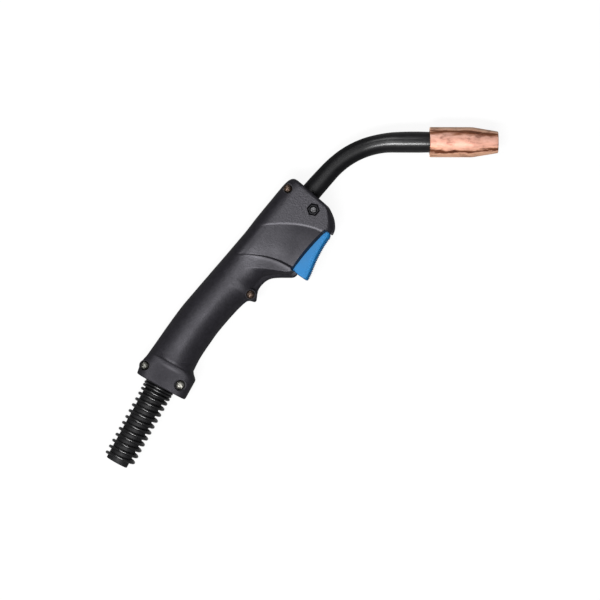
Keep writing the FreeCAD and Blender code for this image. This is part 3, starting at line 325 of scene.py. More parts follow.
plainSettings = {
    # Dark and light shade, fineness of their drift, roughness, fineness and height of the grain, other
    # sockets, and stretch.
    "triggerBlue": ((0.007, 0.154, 0.38), (0.011, 0.176, 0.44), 90, (0.54, 0.64), 1500, 0.00006,
                    {"Specular IOR Level": 0.34}),
    "springCoat": ((0.0022, 0.0022, 0.0026), (0.005, 0.005, 0.0056), 300, (0.3, 0.4), 900, 0.00001,
                   {"Specular IOR Level": 0.25, "Coat Weight": 1.0, "Coat Roughness": 0.13}),
    "sleeveRubber": ((0.0045, 0.0045, 0.0052), (0.0085, 0.0085, 0.0095), 150, (0.55, 0.7), 1100, 0.00006,
                     {"Specular IOR Level": 0.3}),
    "bronzeScrew": ((0.03, 0.017, 0.011), (0.17, 0.125, 0.1), 900, (0.3, 0.5), 1700, 0.00005, bareMetal),
    "zincSteel": ((0.09, 0.09, 0.08), (0.4, 0.39, 0.355), 700, (0.34, 0.5), 1500, 0.00005, bareMetal),
    "wornSteel": ((0.035, 0.035, 0.031), (0.22, 0.22, 0.2), 900, (0.34, 0.5), 1500, 0.00005, bareMetal),
    "boltSteel": ((0.014, 0.014, 0.015), (0.12, 0.12, 0.125), 900, (0.34, 0.5), 1500, 0.00005, bareMetal),
    "blackSteel": ((0.007, 0.007, 0.008), (0.02, 0.02, 0.022), 350, (0.36, 0.52), 1500, 0.00005, bareMetal),
    "turnedBrass": ((0.62, 0.44, 0.18), (0.78, 0.6, 0.3), 260, (0.22, 0.36), 900, 0.00005, bareMetal,
                    (3, 1, 1)),
    "turnedCopper": ((0.66, 0.3, 0.17), (0.84, 0.48, 0.31), 240, (0.22, 0.38), 900, 0.00005, bareMetal,
                     (3, 1, 1)),
    "phenolicBrown": ((0.05, 0.02, 0.01), (0.1, 0.042, 0.02), 200, (0.35, 0.5), 1200, 0.00008),
    "switchBlack": ((0.012, 0.012, 0.013), (0.022, 0.022, 0.024), 300, (0.3, 0.45), 1400, 0.00005),
    "plungerRed": ((0.45, 0.02, 0.015), (0.58, 0.04, 0.03), 300, (0.3, 0.4), 1400, 0.00004),
    "leadRed": ((0.4, 0.02, 0.02), (0.52, 0.04, 0.03), 300, (0.35, 0.45), 1400, 0.00004),
    "spliceGrey": ((0.42, 0.42, 0.44), (0.56, 0.56, 0.58), 300, (0.35, 0.45), 1400, 0.00005),
}


def plainFinish(name, dark, light, cloud, rough, grain, height, sockets=(), stretch=(1, 1, 1)):
    # Two shades that drift into each other, a roughness that drifts with them, and a fine grain.
    tree, shader, place = newFinish(name)
    drift = noiseOn(tree, place, cloud, stretch)
    feed(tree, shader, {"Base Color": ramp(tree, drift, [(0.3, dark), (0.7, light)]),
                        "Roughness": between(tree, drift, *rough), **dict(sockets)})
    raised(tree, shader, noiseOn(tree, place, grain, stretch, detail=2.0), height)


# The sunk panel's two ledges, each an arc through three places of the handle's flank.
upperArc = [(40.3, -8.85), (26.9, 6.8), (17.6, 26.0)]
lowerArc = [(71.9, -10.3), (60.6, 5.9), (54.1, 24.85)]

plasticSettings = {
    "dark": (0.0062, 0.0058, 0.0078), "light": (0.0128, 0.0119, 0.0154), "spots": 420, "cloud": 75,
    "pebble": 900, "pebbleHeight": 0.00008, "grain": 2600, "grainHeight": 0.00003,
    "roughness": (0.37, 0.45), "specular": 0.43,
    "duller": 0.13, "dullFrom": (20, 0, 18), "dullTo": (175, 0, 18),
    # Middle and reach of places on the handle, and how much duller or more rubbed they are.
    "patches": [((62, -4, 18), (15, 14, 30), -0.03), ((14, 2, 18), (18, 17, 30), -0.07),
        ((46, 20, 18), (13, 12, 30), 0.14), ((62, 13, 18), (11, 12, 30), 0.1),
        ((182, 4, 18), (26, 30, 40), 0.16), ((90, 16.1, 12), (10, 9, 9), 0.3)],
    # Colour of the lighter lines: painted highlight on the lit ledges and the collar's step, with some edge
    # wear.
    "worn": (0.05, 0.048, 0.054),
    "stepWearAndHighlight": [((168.2, 4.8, 17.5), (1.6, 9.5, 9), 1.5), ((172.4, 6.6, 17.5), (1.7, 10, 9), 1.5)],
    # Millimetres past a ledge or across the handle, and how strong the painted highlight with wear, or the
    # dullness, is there.
    "edge": [(-3, 0), (-0.9, 0), (0.2, 1), (1.3, 0), (3, 0)],
    "ridge": [(-3, 0), (0.6, 0), (1.8, 1), (3.2, 0.3), (6, 0)],
    "afterEdge": [(0, 0), (1.2, 1), (6, 0.85), (14, 0.45), (27, 0)],
    "nearTrigger": [(-6, 0.1), (4, 0.55), (12, 1), (26, 1)],
    "afterEdgeDull": 0.3,
    "ledgeEnds": [(-14, 0), (-8, 1), (30, 1), (34, 0)],
    "tint": (0.97, 0.95, 1.04, 1),
}


def plasticFinish():
    # Moulded nylon: a pebbled grain, duller toward the cable, with duller and glossier patches from hands,
    # and painted highlights with some wear along the panel's ledges and the collar's step.
    given = plasticSettings
    tree, shader, place = newFinish("handlePlastic")
    cloud = noiseOn(tree, place, given["cloud"], detail=5.0, rough=0.65)
    spots = noiseOn(tree, place, given["spots"], detail=3.0)
    pastUpper, across = pastArc(tree, place, upperArc)
    pastLower, across = pastArc(tree, place, lowerArc)
    # Lighter lines just past the upper and lower ledge and at the collar's step: painted highlights of the
    # lit edges, with some wear.
    worn = sumOf(tree, hump(tree, pastUpper, given["edge"]), [(hump(tree, pastLower, given["ridge"]), 0.7)])
    worn = maths(tree, "MULTIPLY", worn, hump(tree, across, given["ledgeEnds"]))
    worn = sumOf(tree, worn, [(patchOn(tree, place, middle, reach, reliefTurn), amount)
                              for middle, reach, amount in given["stepWearAndHighlight"]])
    worn = maths(tree, "MULTIPLY", worn, between(tree, cloud, 0.35, 1.0))
    nylon = ramp(tree, spots, [(0.35, given["dark"]), (0.68, given["light"])])
    way = spin(endwise, handleTurn)
    farther = along(tree, place, way, fromHandle(given["dullFrom"]), fromHandle(given["dullTo"]))
    shaded = maths(tree, "MULTIPLY", hump(tree, pastUpper, given["afterEdge"]),
                   hump(tree, across, given["nearTrigger"]))
    parts = [(farther, given["duller"]), (shaded, given["afterEdgeDull"]), (worn, -0.07)]
    parts += [(patchOn(tree, place, middle, reach), amount) for middle, reach, amount in given["patches"]]
    feed(tree, shader, {"Base Color": mixed(tree, worn, nylon, (*given["worn"], 1)),
                        "Roughness": sumOf(tree, between(tree, cloud, *given["roughness"]), parts),
                        "Specular IOR Level": given["specular"], "Specular Tint": given["tint"]})
    cells = addNode(tree, "TexVoronoi", {"Vector": place, "Scale": given["pebble"]}, feature="SMOOTH_F1")
    fine = raised(tree, shader, noiseOn(tree, place, given["grain"], detail=2.0), given["grainHeight"])
    pebble = raised(tree, shader, cells.outputs["Distance"], given["pebbleHeight"], fine)
    pebble.invert = True


neckCoatSettings = {
    "dark": (0.0022, 0.0022, 0.0028), "light": (0.0042, 0.0042, 0.005), "scuff": (0.03, 0.03, 0.034),
    "roughness": (0.4, 0.48), "specular": 0.22, "coatRoughness": 0.24,
    "bareAt": (0.046, 0, 0), "coatedAt": (0.068, 0, 0),
}


def neckFinish():
    # Black paint: worn dull by the handle, glossy toward the nozzle, with slow waves and a few grey scuffs.
    given = neckCoatSettings
    tree, shader, place = newFinish("neckCoat")
    drift = noiseOn(tree, place, 120, detail=3.0)
    chips = noiseOn(tree, place, 330, (0.6, 1, 1), detail=2.0)
    fine = raised(tree, shader, noiseOn(tree, place, 1400, detail=2.0), 0.00002)
    waves = raised(tree, shader, noiseOn(tree, place, 150, (0.4, 1, 1), detail=1.0), 0.00005, fine)
    coated = along(tree, place, endwise, given["bareAt"], given["coatedAt"])
    shades = [(0.25, given["dark"]), (0.6, given["light"]), (0.735, given["light"]), (0.775, given["scuff"])]
    feed(tree, shader, {"Base Color": ramp(tree, chips, shades),
                        "Roughness": between(tree, drift, *given["roughness"]),
                        "Specular IOR Level": given["specular"], "Coat Roughness": given["coatRoughness"],
                        "Coat Weight": maths(tree, "MULTIPLY", coated, between(tree, drift, 0.8, 1.15)),
                        "Coat Normal": waves.outputs["Normal"]})


nozzleCoatSettings = {
    # Painted reflection and painted shade round the nozzle, by degrees from its upper side as it lies: dark
    # bands of painted shade between painted highlights, with painted bright reflections along both edges.
    "shades": [(-180, "bright"), (-150, "paintedShadeBand"), (-132, "orange"), (-100, "edge"), (-56, "edge"),
        (-50, "orange"), (-46, "paintedShadeBand"), (-37, "paintedShadeBand"), (-29, "orange"), (-20, "middle"), (-6, "middle"),
        (8, "middle"), (22, "bright"), (33, "brown"), (39, "paintedShadeBand"), (46, "paintedShadeBand"), (51, "orange"),
        (58, "upper"), (84, "upper"), (98, "brown"), (112, "bright"), (140, "brown"), (160, "orange"),
        (180, "bright")],
    "colours": {"edge": (1.0, 0.57, 0.38), "upper": (1.0, 0.65, 0.47), "bright": (0.86, 0.5, 0.39),
                "middle": (0.76, 0.4, 0.3), "orange": (0.96, 0.5, 0.34), "brown": (0.4, 0.16, 0.09),
                "paintedShadeBand": (0.17, 0.046, 0.014)},
    "stains": [(0.36, (0.36, 0.24, 0.2)), (0.46, (0.84, 0.78, 0.78)), (0.56, (1.0, 1.0, 1.0)),
        (0.68, (1.12, 1.2, 1.3))],
    "wander": 0.22, "metal": 0.42, "roughness": (0.46, 0.6),
    "sheen": 0.7, "sheenRoughness": 0.45, "sheenTint": (1.0, 0.62, 0.42, 1),
}


def nozzleFinish():
    # Spun copper with painted reflections and painted shade in lengthwise bands, set by the angle from its
    # upper side, that wander, under streaks and blotches of wear.
    given = nozzleCoatSettings
    tree, shader, place = newFinish("nozzleCopper")
    centred = addNode(tree, "Mapping", {"Vector": place, "Location": tuple(-nozzleOrigin / 1000)})
    axes = addNode(tree, "SeparateXYZ", {0: centred.outputs["Vector"]}).outputs
    angle = maths(tree, "ARCTAN2", axes["Y"], axes["Z"])
    streak = noiseOn(tree, place, 260, (0.22, 1, 1), detail=5.0, rough=0.6)
    blotch = noiseOn(tree, place, 210, (0.45, 1, 1), detail=4.0, rough=0.6)
    wander = between(tree, streak, -given["wander"], given["wander"])
    turned = between(tree, sumOf(tree, angle, [(wander, 1.0)]), 0, 1, -math.pi, math.pi)
    # Painted highlights and painted shade: each colour stands at an angle from the nozzle's upper side as it
    # lies.
    stops = [((at + 180) / 360, given["colours"][shade]) for at, shade in given["shades"]]
    stains = ramp(tree, blotch, given["stains"])
    feed(tree, shader, {"Base Color": mixed(tree, 0.85, ramp(tree, turned, stops), stains, "MULTIPLY"),
                        "Roughness": between(tree, blotch, *given["roughness"]), "Metallic": given["metal"],
                        "Sheen Weight": given["sheen"], "Sheen Roughness": given["sheenRoughness"],
                        "Sheen Tint": given["sheenTint"]})
    fine = raised(tree, shader, noiseOn(tree, place, 2600, (0.1, 1, 1), detail=2.0), 0.00003)
    raised(tree, shader, streak, 0.00014, fine)


slotFinish = {
    "handle_plastic": "handlePlastic", "trigger_plastic": "triggerBlue", "neck_black": "neckCoat",
    "nozzle_copper": "nozzleCopper", "copper": "turnedCopper", "brass": "turnedBrass",
    "phenolic": "phenolicBrown", "steel": "zincSteel", "seal_rubber": "sleeveRubber",
    "switch_plastic": "switchBlack", "plunger_plastic": "plungerRed", "lead_insulation": "leadRed",
    "splice_plastic": "spliceGrey", "sleeve_rubber": "sleeveRubber", "spring_black": "springCoat",
}


def dressFrame():
    # Every solid that stays gets the finish of its material slot.
    slots = {part["node"]: part["material_slot"] for part in frame["record"]["subparts"]}
    for node, solid in frame["nodes"].items():
        solid.data.materials.clear()
        solid.data.materials.append(finishes[slotFinish[slots[node]]])


# Mesh tools

def follow(table, at):
    # A smooth curve through the table's points that never overshoots them: on each span a cubic whose
    # end slopes are the weighted harmonic means of the neighbouring rises.
    table = np.asarray(table, float)
    x, y = table[:, 0], table[:, 1]
    step = np.diff(x)
    rise = np.diff(y) / step
    near, far = 2 * step[1:] + step[:-1], step[1:] + 2 * step[:-1]
    same = rise[:-1] * rise[1:] > 0
    safe = np.where(same, rise[:-1], 1.0), np.where(same, rise[1:], 1.0)
    slope = np.zeros_like(y)
    slope[1:-1] = np.where(same, (near + far) / (near / safe[0] + far / safe[1]), 0)
    slope[0], slope[-1] = rise[0], rise[-1]
    at = np.clip(at, x[0], x[-1])
    k = np.clip(np.searchsorted(x, at) - 1, 0, len(x) - 2)
    t = (at - x[k]) / step[k]
    return ((2 * t ** 3 - 3 * t ** 2 + 1) * y[k] + (t ** 3 - 2 * t ** 2 + t) * slope[k] * step[k]
            + (3 * t ** 2 - 2 * t ** 3) * y[k + 1] + (t ** 3 - t ** 2) * slope[k + 1] * step[k])


def gridFaces(rows, columns, closedRows=False, closedColumns=False):
    # Each cell of the grid joins a point to its neighbours along and across.
    r = np.arange(rows if closedRows else rows - 1)
    c = np.arange(columns if closedColumns else columns - 1)
    r, c = np.meshgrid(r, c, indexing="ij")
    after, beside = (r + 1) % rows, (c + 1) % columns
    cells = [r * columns + c, r * columns + beside, after * columns + beside, after * columns + c]
    return np.stack(cells, -1).reshape(-1, 4).tolist()


def meshPiece(name, points, faces):
    # An object from points and faces, with every face turned outwards.
    mesh = bpy.data.meshes.new(name)
    mesh.from_pydata(np.asarray(points, float).reshape(-1, 3).tolist(), [], faces)
    shape = bmesh.new()
    shape.from_mesh(mesh)
    bmesh.ops.recalc_face_normals(shape, faces=shape.faces)
    shape.to_mesh(mesh)
    shape.free()
    return newObject(name, mesh)


def finishPiece(piece, body, finish, replaced, sharp=32):
    # Finish, smooth shading with creases over the sharp angle, body, material slot and replaced nodes.
    piece.data.materials.clear()
    piece.data.materials.append(finishes[finish])
    piece.data.shade_smooth()
    piece.data.set_sharp_from_angle(angle=math.radians(sharp))
    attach(piece, body)
    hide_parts(*replaced)


def closedGrid(name, points, place):
    # A grid of rings whose first and last ring are closed by a face each.
    rows, columns = points.shape[:2]
    faces = gridFaces(rows, columns, closedColumns=True)
    faces.append(list(range(columns)))
    faces.append(list(range((rows - 1) * columns, rows * columns)))
    return meshPiece(name, place(points), faces)


def sectionGrid(at, y, z):
    # Runs of (y, z) points put end to end as the section at each place along a piece.
    y, z = np.concatenate(y, 1), np.concatenate(z, 1)
    return np.stack([np.repeat(at[:, None], y.shape[1], 1), y, z], -1)


def lathe(name, profile, place, sides):
    # A profile of (distance along x, radius) turned round the x axis, as a closed loop.
    profile = np.asarray(profile, float)
    angle = np.linspace(0, 2 * math.pi, sides, endpoint=False)
    along = np.repeat(profile[:, :1], sides, 1)
    points = np.stack([along, profile[:, 1:] * np.cos(angle), profile[:, 1:] * np.sin(angle)], -1)
    return meshPiece(name, place(points), gridFaces(len(profile), sides, True, True))


def rod(name, start, way, length, radius, place, sides, twist=0.0):
    # A round bar from start along way, closed at both ends: one length and radius, or several of each.
    way = np.asarray(way, float) / np.linalg.norm(way)
    side = np.cross(way, upright if abs(way[2]) < 0.9 else endwise)
    side = side / np.linalg.norm(side)
    up = np.cross(way, side)
    angle = twist + np.linspace(0, 2 * math.pi, sides, endpoint=False)[None, :, None]
    along = np.array([0.0, length] if np.isscalar(length) else length, float)[:, None, None]
    size = np.array([radius, radius] if np.isscalar(radius) else radius, float)[:, None, None]
    rows = np.asarray(start, float) + way * along + size * (side * np.cos(angle) + up * np.sin(angle))
    return closedGrid(name, rows, place)


def windWire(name, turn, climb, axis, radius, wire, sides, place, foot=(0, 0, 0)):
    # A wire wound round an axis, which it climbs: rings of its section stand across the way it goes.
    angle = 2 * math.pi * turn
    radial = np.insert(np.stack([np.cos(angle), np.sin(angle)], 1), axis, 0, axis=1)
    points = radius * radial
    points[:, axis] = climb
    points = points + np.array(foot)
    way = np.gradient(points, axis=0)
    way = way / np.linalg.norm(way, axis=1)[:, None]
    side = np.cross(way, radial)
    around = np.linspace(0, 2 * math.pi, sides, endpoint=False)[None, :, None]
    size = np.broadcast_to(wire, len(points))[:, None, None]
    rings = radial[:, None, :] * np.cos(around) + side[:, None, :] * np.sin(around)
    return closedGrid(name, points[:, None, :] + size * rings, place)


def corner(width, height, count, power):
    # A quarter of a superellipse of that width and height: it starts steep and ends level.
    angle = np.linspace(0, math.pi / 2, count)[None, 1:-1]
    return width * (1 - np.cos(angle) ** (2 / power)), height * np.sin(angle) ** (2 / power)


def crown(back, front, half, backCorner, frontCorner, flatPoints):
    # Over a flank at its half thickness: a rounded corner, a flat and a rounded corner, from back to front.
    (along, up), (toward, rise) = corner(*backCorner), corner(*frontCorner)
    first, last = backCorner[0] - back, front - frontCorner[0]
    level = np.linspace(0, 1, flatPoints)[None, :]
    y = [along - back, first + (last - first) * level, front - toward[:, ::-1]]
    z = [half - backCorner[1] + up, half + 0 * level, half - frontCorner[1] + rise[:, ::-1]]
    return y, z


def drawnIn(depth, radius):
    # How far a round end draws a section in, at a depth past the place where it starts.
    return (radius - np.sqrt(radius ** 2 - np.clip(depth, 0, radius) ** 2))[:, None]


def carve(piece, joined, cutters):
    # Joins solids to the piece, cuts others out of it and takes all of them away.
    for tool in joined + cutters:
        modifier = piece.modifiers.new(tool.name, "BOOLEAN")
        modifier.operation = "UNION" if tool in joined else "DIFFERENCE"
        modifier.object = tool
        modifier.solver = "MANIFOLD"
    graph = bpy.context.evaluated_depsgraph_get()
    mesh = bpy.data.meshes.new_from_object(piece.evaluated_get(graph))
    piece.modifiers.clear()
    old, piece.data = piece.data, mesh
    bpy.data.meshes.remove(old)
    for tool in joined + cutters:
        bpy.data.objects.remove(tool)


def prism(name, outline, levels, place):
    # An outline of (x, y, drift in x, drift in y) at levels of (z, share of the drift).
    outline = np.array(outline, float)
    rows = [np.column_stack([outline[:, :2] + outline[:, 2:] * share, np.full(len(outline), height)])
            for height, share in levels]
    return closedGrid(name, np.array(rows), place)


# Handle: a skin over a grid along and across the grip, with its hollows cut out

handleSettings = {
    # Places along the grip, and there: the back and front edge, the finger stop, half the thickness, the
    # rounded corners, and the front rim's width, height and slope.
    "back": [(0, 16.4), (1, 17.2), (4, 18.8), (7, 19.4), (10, 19.6), (25, 19.4), (43, 19.0), (52, 18.5),
        (58, 18.3), (80, 18.3), (97, 18.4), (127, 18.4), (139, 17.8), (151, 16.8), (163, 15.6), (178, 14.2)],
    "front": [(0, 19.4), (1, 21.0), (4, 26.6), (7, 30.2), (10, 32.6), (13, 33.8), (16, 34.1), (49, 34.0),
        (54, 33.5), (57.8, 32.8), (59, 32.0), (61, 29.8), (64, 26.3), (67, 23.0), (70, 20.2), (73, 18.6),
        (76, 17.8), (79, 17.6), (82, 17.5), (90, 17.2), (97, 16.6), (106, 15.8), (118, 15.5), (127, 15.6),
        (139, 16.6), (151, 18.0), (163, 20.8), (170, 23.0), (178, 24.5)],
    "tooth": [(80, 0), (83, 0.5), (86, 1.9), (89, 4.0), (91, 5.2), (91.8, 5.3), (92.6, 4.6), (94, 1.9),
        (96, 0.4), (99, 0)],
    "half": [(0, 18.0), (60, 18.0), (70, 17.7), (79, 17.2), (90, 17.0), (178, 17.0)],
    "backWidth": [(0, 10.5), (8, 12.5), (20, 13.3), (50, 13.3), (65, 14), (80, 15.4), (100, 17.4),
        (178, 16.8)],
    "backHeight": [(0, 9), (20, 11), (60, 12), (80, 14), (100, 15.5), (178, 15.5)],
    "frontWidth": [(0, 4.5), (6, 6.2), (14, 5.4), (50, 2.6), (56, 2.8), (60, 4.2), (66, 7.0), (70, 9.0),
        (76, 13.6), (82, 14.8), (100, 16.2), (178, 16.6)],
    "rimWidth": [(0, 1.2), (6, 1.8), (16, 2.0), (56, 3.4), (64, 4.0), (76, 4.2), (82, 4.6), (88, 6.0),
        (91.8, 8.0), (94, 4.2), (97, 3.0), (106, 1.5), (118, 0.5), (178, 0.4)],
    "rimAt": [(0, 13.0), (8, 13.6), (13, 14.4), (54, 14.8), (57, 14.5), (60, 13.0), (64, 11.2), (70, 10),
        (76, 9.5), (82, 9.5), (88, 10.5), (91.8, 11), (94, 9), (97, 7.5), (106, 5), (118, 3), (178, 2.5)],
    "rimSlope": [(0, 0.1), (16, 0.16), (56, 0.2), (64, 0.28), (72, 0.45), (80, 0.6), (178, 0.8)],
    "length": 178.0, "wall": 3.0, "noseRound": 2.2,
    "seam": 0.15, "backTrim": 0.15, "frontTrim": 0.22,
    # The sunk panel, and from where to where its ledges and its upper end step down.
    "panelDepth": 0.34, "lowerDrop": 1.1, "panelEnd": (-12.5, -8.5), "flankFrom": (10.0, 14.0),
    "upperLedge": (-1.3, 1.5), "lowerLedge": (-0.4, 0.25), "lowerWider": (-0.75, 0.55),
    "below": 0.35, "belowLedge": (0.25, 3.2), "belowEnd": (6, 22),
    # Points and power of the two rounded corners, and points on the flat between them.
    "backCorner": (24, 2.1), "frontCorner": (26, 1.65), "flatPoints": 64,
    # Rows are a millimetre apart, closer in these places, and straight again past the last.
    "rowsAtNose": [0, 0.1, 0.25, 0.5, 0.9, 1.4, 2.2],
    "rowsByLedge": [-1.6, -1.1, -0.8, -0.5, -0.25, 0, 0.25, 0.5, 0.8, 1.1, 1.6],
    "rowsAtTooth": (82, 98), "straightFrom": 108.0, "closest": 0.08, "passes": 4,
}


def arcPlace(arc, across):
    # The parabola through three points of the arc, as a place along the grip for a place across it.
    (x0, y0), (x1, y1), (x2, y2) = arc
    first, second = (x1 - x0) / (y1 - y0), (x2 - x1) / (y2 - y1)
    bend = (second - first) / (y2 - y0)
    across = np.clip(across, -16.0, 30.0)
    return x0 + first * (across - y0) + bend * (across - y0) * (across - y1)


def step(value, start, end):
    # Rises smoothly from nought at start to one at end.
    t = np.clip((value - start) / (end - start), 0, 1)
    return t * t * (3 - 2 * t)


def gripSection(at):
    # For each place along the grip, half a section from the parting line at the back, over the flank, to
    # the parting line in front: wall, rounded corner, flat, rounded corner, rim and wall.
    given = handleSettings
    get = {key: follow(given[key], at)[:, None] for key in
           ("back", "front", "tooth", "half", "backWidth", "backHeight", "frontWidth", "rimWidth", "rimAt",
            "rimSlope")}
    inset, seam = drawnIn(given["noseRound"] - at, given["noseRound"]), given["seam"]
    back, half = get["back"] - given["backTrim"] - inset, get["half"] - inset
    front = get["front"] + get["tooth"] + given["frontTrim"] - inset
    rim, rimAt = get["rimWidth"], np.minimum(get["rimAt"], half - 1.5)
    wall = np.array([0.0, 0.16, 0.5])[None, :]
    rise, fall = np.linspace(0.15, 1, 7)[None, :], np.linspace(0.85, 0, 7)[None, :]
    share = np.array([0.0, 0.2, 0.4, 0.6, 0.75, 0.88, 0.96, 1.0])[None, :]
    ledge = rimAt - get["rimSlope"] * rim * share - 1.2 * np.minimum(1, rim) * step(share, 0.8, 1.0) ** 2
    y, z = crown(back, front - rim, half, (get["backWidth"], get["backHeight"], *given["backCorner"]),
                 (get["frontWidth"], half - rimAt, *given["frontCorner"]), given["flatPoints"])
    y = [seam * (wall == 0) - back, 0 * rise - back, *y, front - rim * (1 - share), front + 0 * fall,
         front - seam * (wall[:, 1::-1] == 0)]
    z = [wall + 0 * back, 0.5 + (half - get["backHeight"] - 0.5) * rise, *z, ledge,
         0.5 + (ledge[:, -1:] - 0.5) * fall, wall[:, 1::-1] + 0 * back]
    return np.concatenate(y, 1), np.concatenate(z, 1)


def gripSkin():
    # Rows bend along the two arcs of the sunk panel, so that its ledges lie on rows. Between the arcs the
    # flank is lowered by a smooth step at each ledge, and more toward the lower one.
    given = handleSettings
    upper, lower = arcPlace(upperArc, 0.0), arcPlace(lowerArc, 0.0)
    beside = np.array(given["rowsByLedge"])
    atTooth = np.arange(*given["rowsAtTooth"], 0.5)
    start = np.unique(np.concatenate([given["rowsAtNose"], np.arange(3, given["length"] + 0.5, 1.0),
                                      upper + beside, lower + beside, atTooth]))
    start = start[np.concatenate([[True], np.diff(start) > given["closest"]])]
    across, up = gripSection(start)
    knots = [0.0, upper, lower, given["straightFrom"]]
    nearUpper = np.interp(start, knots, [0, 1, 0, 0])[:, None]
    nearLower = np.interp(start, knots, [0, 0, 1, 0])[:, None]
    table = np.arange(0, given["length"] + 0.2, 0.25)
    tableY, tableZ = gripSection(table)
    for turn in range(given["passes"]):
        shiftUpper = arcPlace(upperArc, across) - upper
        shiftLower = arcPlace(lowerArc, across) - lower
        at = start[:, None] + nearUpper * shiftUpper + nearLower * shiftLower
        for column in range(across.shape[1]):
            across[:, column] = np.interp(at[:, column], table, tableY[:, column])
            up[:, column] = np.interp(at[:, column], table, tableZ[:, column])
    fromUpper = at - arcPlace(upperArc, across)
    fromLower = at - arcPlace(lowerArc, across)
    share = np.clip(fromUpper / np.maximum(fromUpper - fromLower, 1), 0, 1)
    dip = given["lowerDrop"] * (0.35 + 0.65 * step(across, -4, 20)) * np.clip(2 * share - 1, 0, 1) ** 2
    thick = step(across, -8, 22)
    low, high = (at + wider * thick for at, wider in zip(given["lowerLedge"], given["lowerWider"]))
    inside = step(fromUpper, *given["upperLedge"]) * (1 - step(fromLower, low, high))
    beyond = given["below"] * step(fromLower, *given["belowLedge"])
    beyond = beyond * (1 - step(fromLower, *given["belowEnd"])) * step(across, -6, 6)
    sunk = (given["panelDepth"] + dip) * inside * step(across, *given["panelEnd"])
    up = up - (sunk + beyond) * step(up, *given["flankFrom"])
    return np.stack([at, across, up], -1)


collarSettings = {
    "back": [(-26, 17.6), (-23, 18.5), (-17.1, 19.6), (-12, 20.8), (-9, 21.4), (-5, 20.8), (0, 19.9)],
    "front": [(-26, 15.4), (-22, 17.2), (-20, 18.6), (-18, 20.6), (-16.4, 21.8), (-15.2, 22.0), (0, 22.0)],
    "half": [(-26, 14.0), (-22.4, 16.0), (-20.8, 16.75), (-20.1, 17.1), (-19.4, 17.75), (-18.4, 18.0),
        (0, 18.0)],
    # Width, height, points and power of the two rounded corners.
    "backCorner": (9.5, 11.0, 16, 2.3), "frontCorner": (11.5, 11.0, 18, 2.3),
    "endRound": 0.9, "extraRows": [-20.4, -19.8, -19.2, -0.9, -0.55, -0.25, -0.08, 0],
}


def collarSkin():
    # Half a section at each place along the collar: wall, rounded corner, flat, rounded corner and wall.
    given, seam = collarSettings, handleSettings["seam"]
    at = np.array(sorted(set(np.arange(-26, -1, 0.6).tolist() + given["extraRows"])))
    inset = drawnIn(at + given["endRound"], given["endRound"])
    back, front, half = (follow(given[key], at)[:, None] - inset for key in ("back", "front", "half"))
    wall = np.array([0.0, 0.16, 0.5, 2.0, 3.4])[None, :]
    y, z = crown(back, front, half, given["backCorner"], given["frontCorner"], 40)
    return sectionGrid(at, [seam * (wall == 0) - back, *y, front - seam * (wall[:, ::-1] == 0)],
                       [wall + 0 * back, *z, wall[:, ::-1] + 0 * back])


def cavitySkin():
    # The grip's section drawn in by the wall.
    at = np.arange(30.0, 171.0, 3.0)
    back, front, half = (follow(handleSettings[key], at)[:, None] - handleSettings["wall"]
                         for key in ("back", "front", "half"))
    width = np.minimum(follow(handleSettings["backWidth"], at)[:, None], 10)
    y, z = crown(back, front, half, (width, width, 10, 2.0), (width, width, 10, 2.0), 0)
    return sectionGrid(at, [-back, *y, front], [0 * back - 1, *z, 0 * back - 1])


screwSettings = {
    "seat": 13.0, "hole": 1.55,
    # Height and radius of the shank, then height over the seat and what it adds to the head's radius.
    "shank": [(-10.9, 0.25), (-10.4, 0.7), (-9.4, 1.45), (13.0, 1.5)],
    "dome": [(0, -0.15), (0.15, 0), (0.7, 0), (1.25, -0.3), (1.75, -0.85), (2.15, -1.7), (2.36, -2.6)],
    "top": (2.4, 0.2),
    # A driver's slot: half its length and width, and its shares at the bottom and top, over the seat.
    "driver": (2.1, 0.42), "narrows": ((1, 0.55), (3, 1.25)),
    # Each screw's frame, spot, radius of its well and of its head, the turn of its slots, and finish.
    "screws": {"top": (fromHandle, (9.7, -15.1), 3.9, 3.4, 24, "bronzeScrew"),
               "stop": (fromHandle, (90.0, 16.1), 3.9, 3.4, 55, "bronzeScrew"),
               "collarFront": (fromRelief, (-8.4, 13.7), 4.75, 3.75, 24, "zincSteel"),
               "collarBack": (fromRelief, (-8.4, -17.5), 3.9, 3.4, 24, "wornSteel")},
    # Distances out from the parting line and radii there, of the raised rings round two of the wells.
    "bosses": {"stop": [(0, 10.6, 13.3), (4.9, 4.9, 3.93)],
               "collarBack": [(0, 13.2, 15.6), (4.2, 4.2, 3.92)]},
}


clampSettings = {
    "spot": (9.3, 10.3), "hole": 2.55, "across": 8.0,
    # Distance from its start and radius, for the nut's pocket and the bolt head's well.
    "pocketFrom": 12.0, "pocket": [(0, 4.8), (5.4, 4.8), (6.1, 5.4), (12, 5.4)],
    "wellFrom": -14.6, "well": [(0, 4.75), (2.9, 4.75), (3.5, 5.3), (9, 5.3)],
    # The same for the nut, as what it adds to the hexagon's radius, and for its bore, the bolt and the
    # bolt's socket.
    "nut": [(0, -0.45), (0.35, 0), (3.6, 0), (4.0, -0.55)], "nutBore": [(0, 2.55), (5.6, 2.55), (6.3, 3.1)],
    "bolt": [(0, 3.95), (0.25, 4.25), (2.35, 4.25), (2.6, 4.1), (2.601, 2.5), (32.6, 2.5), (33.1, 2.05)],
    "socket": [(0, 1.6), (2.82, 1.6)],
}

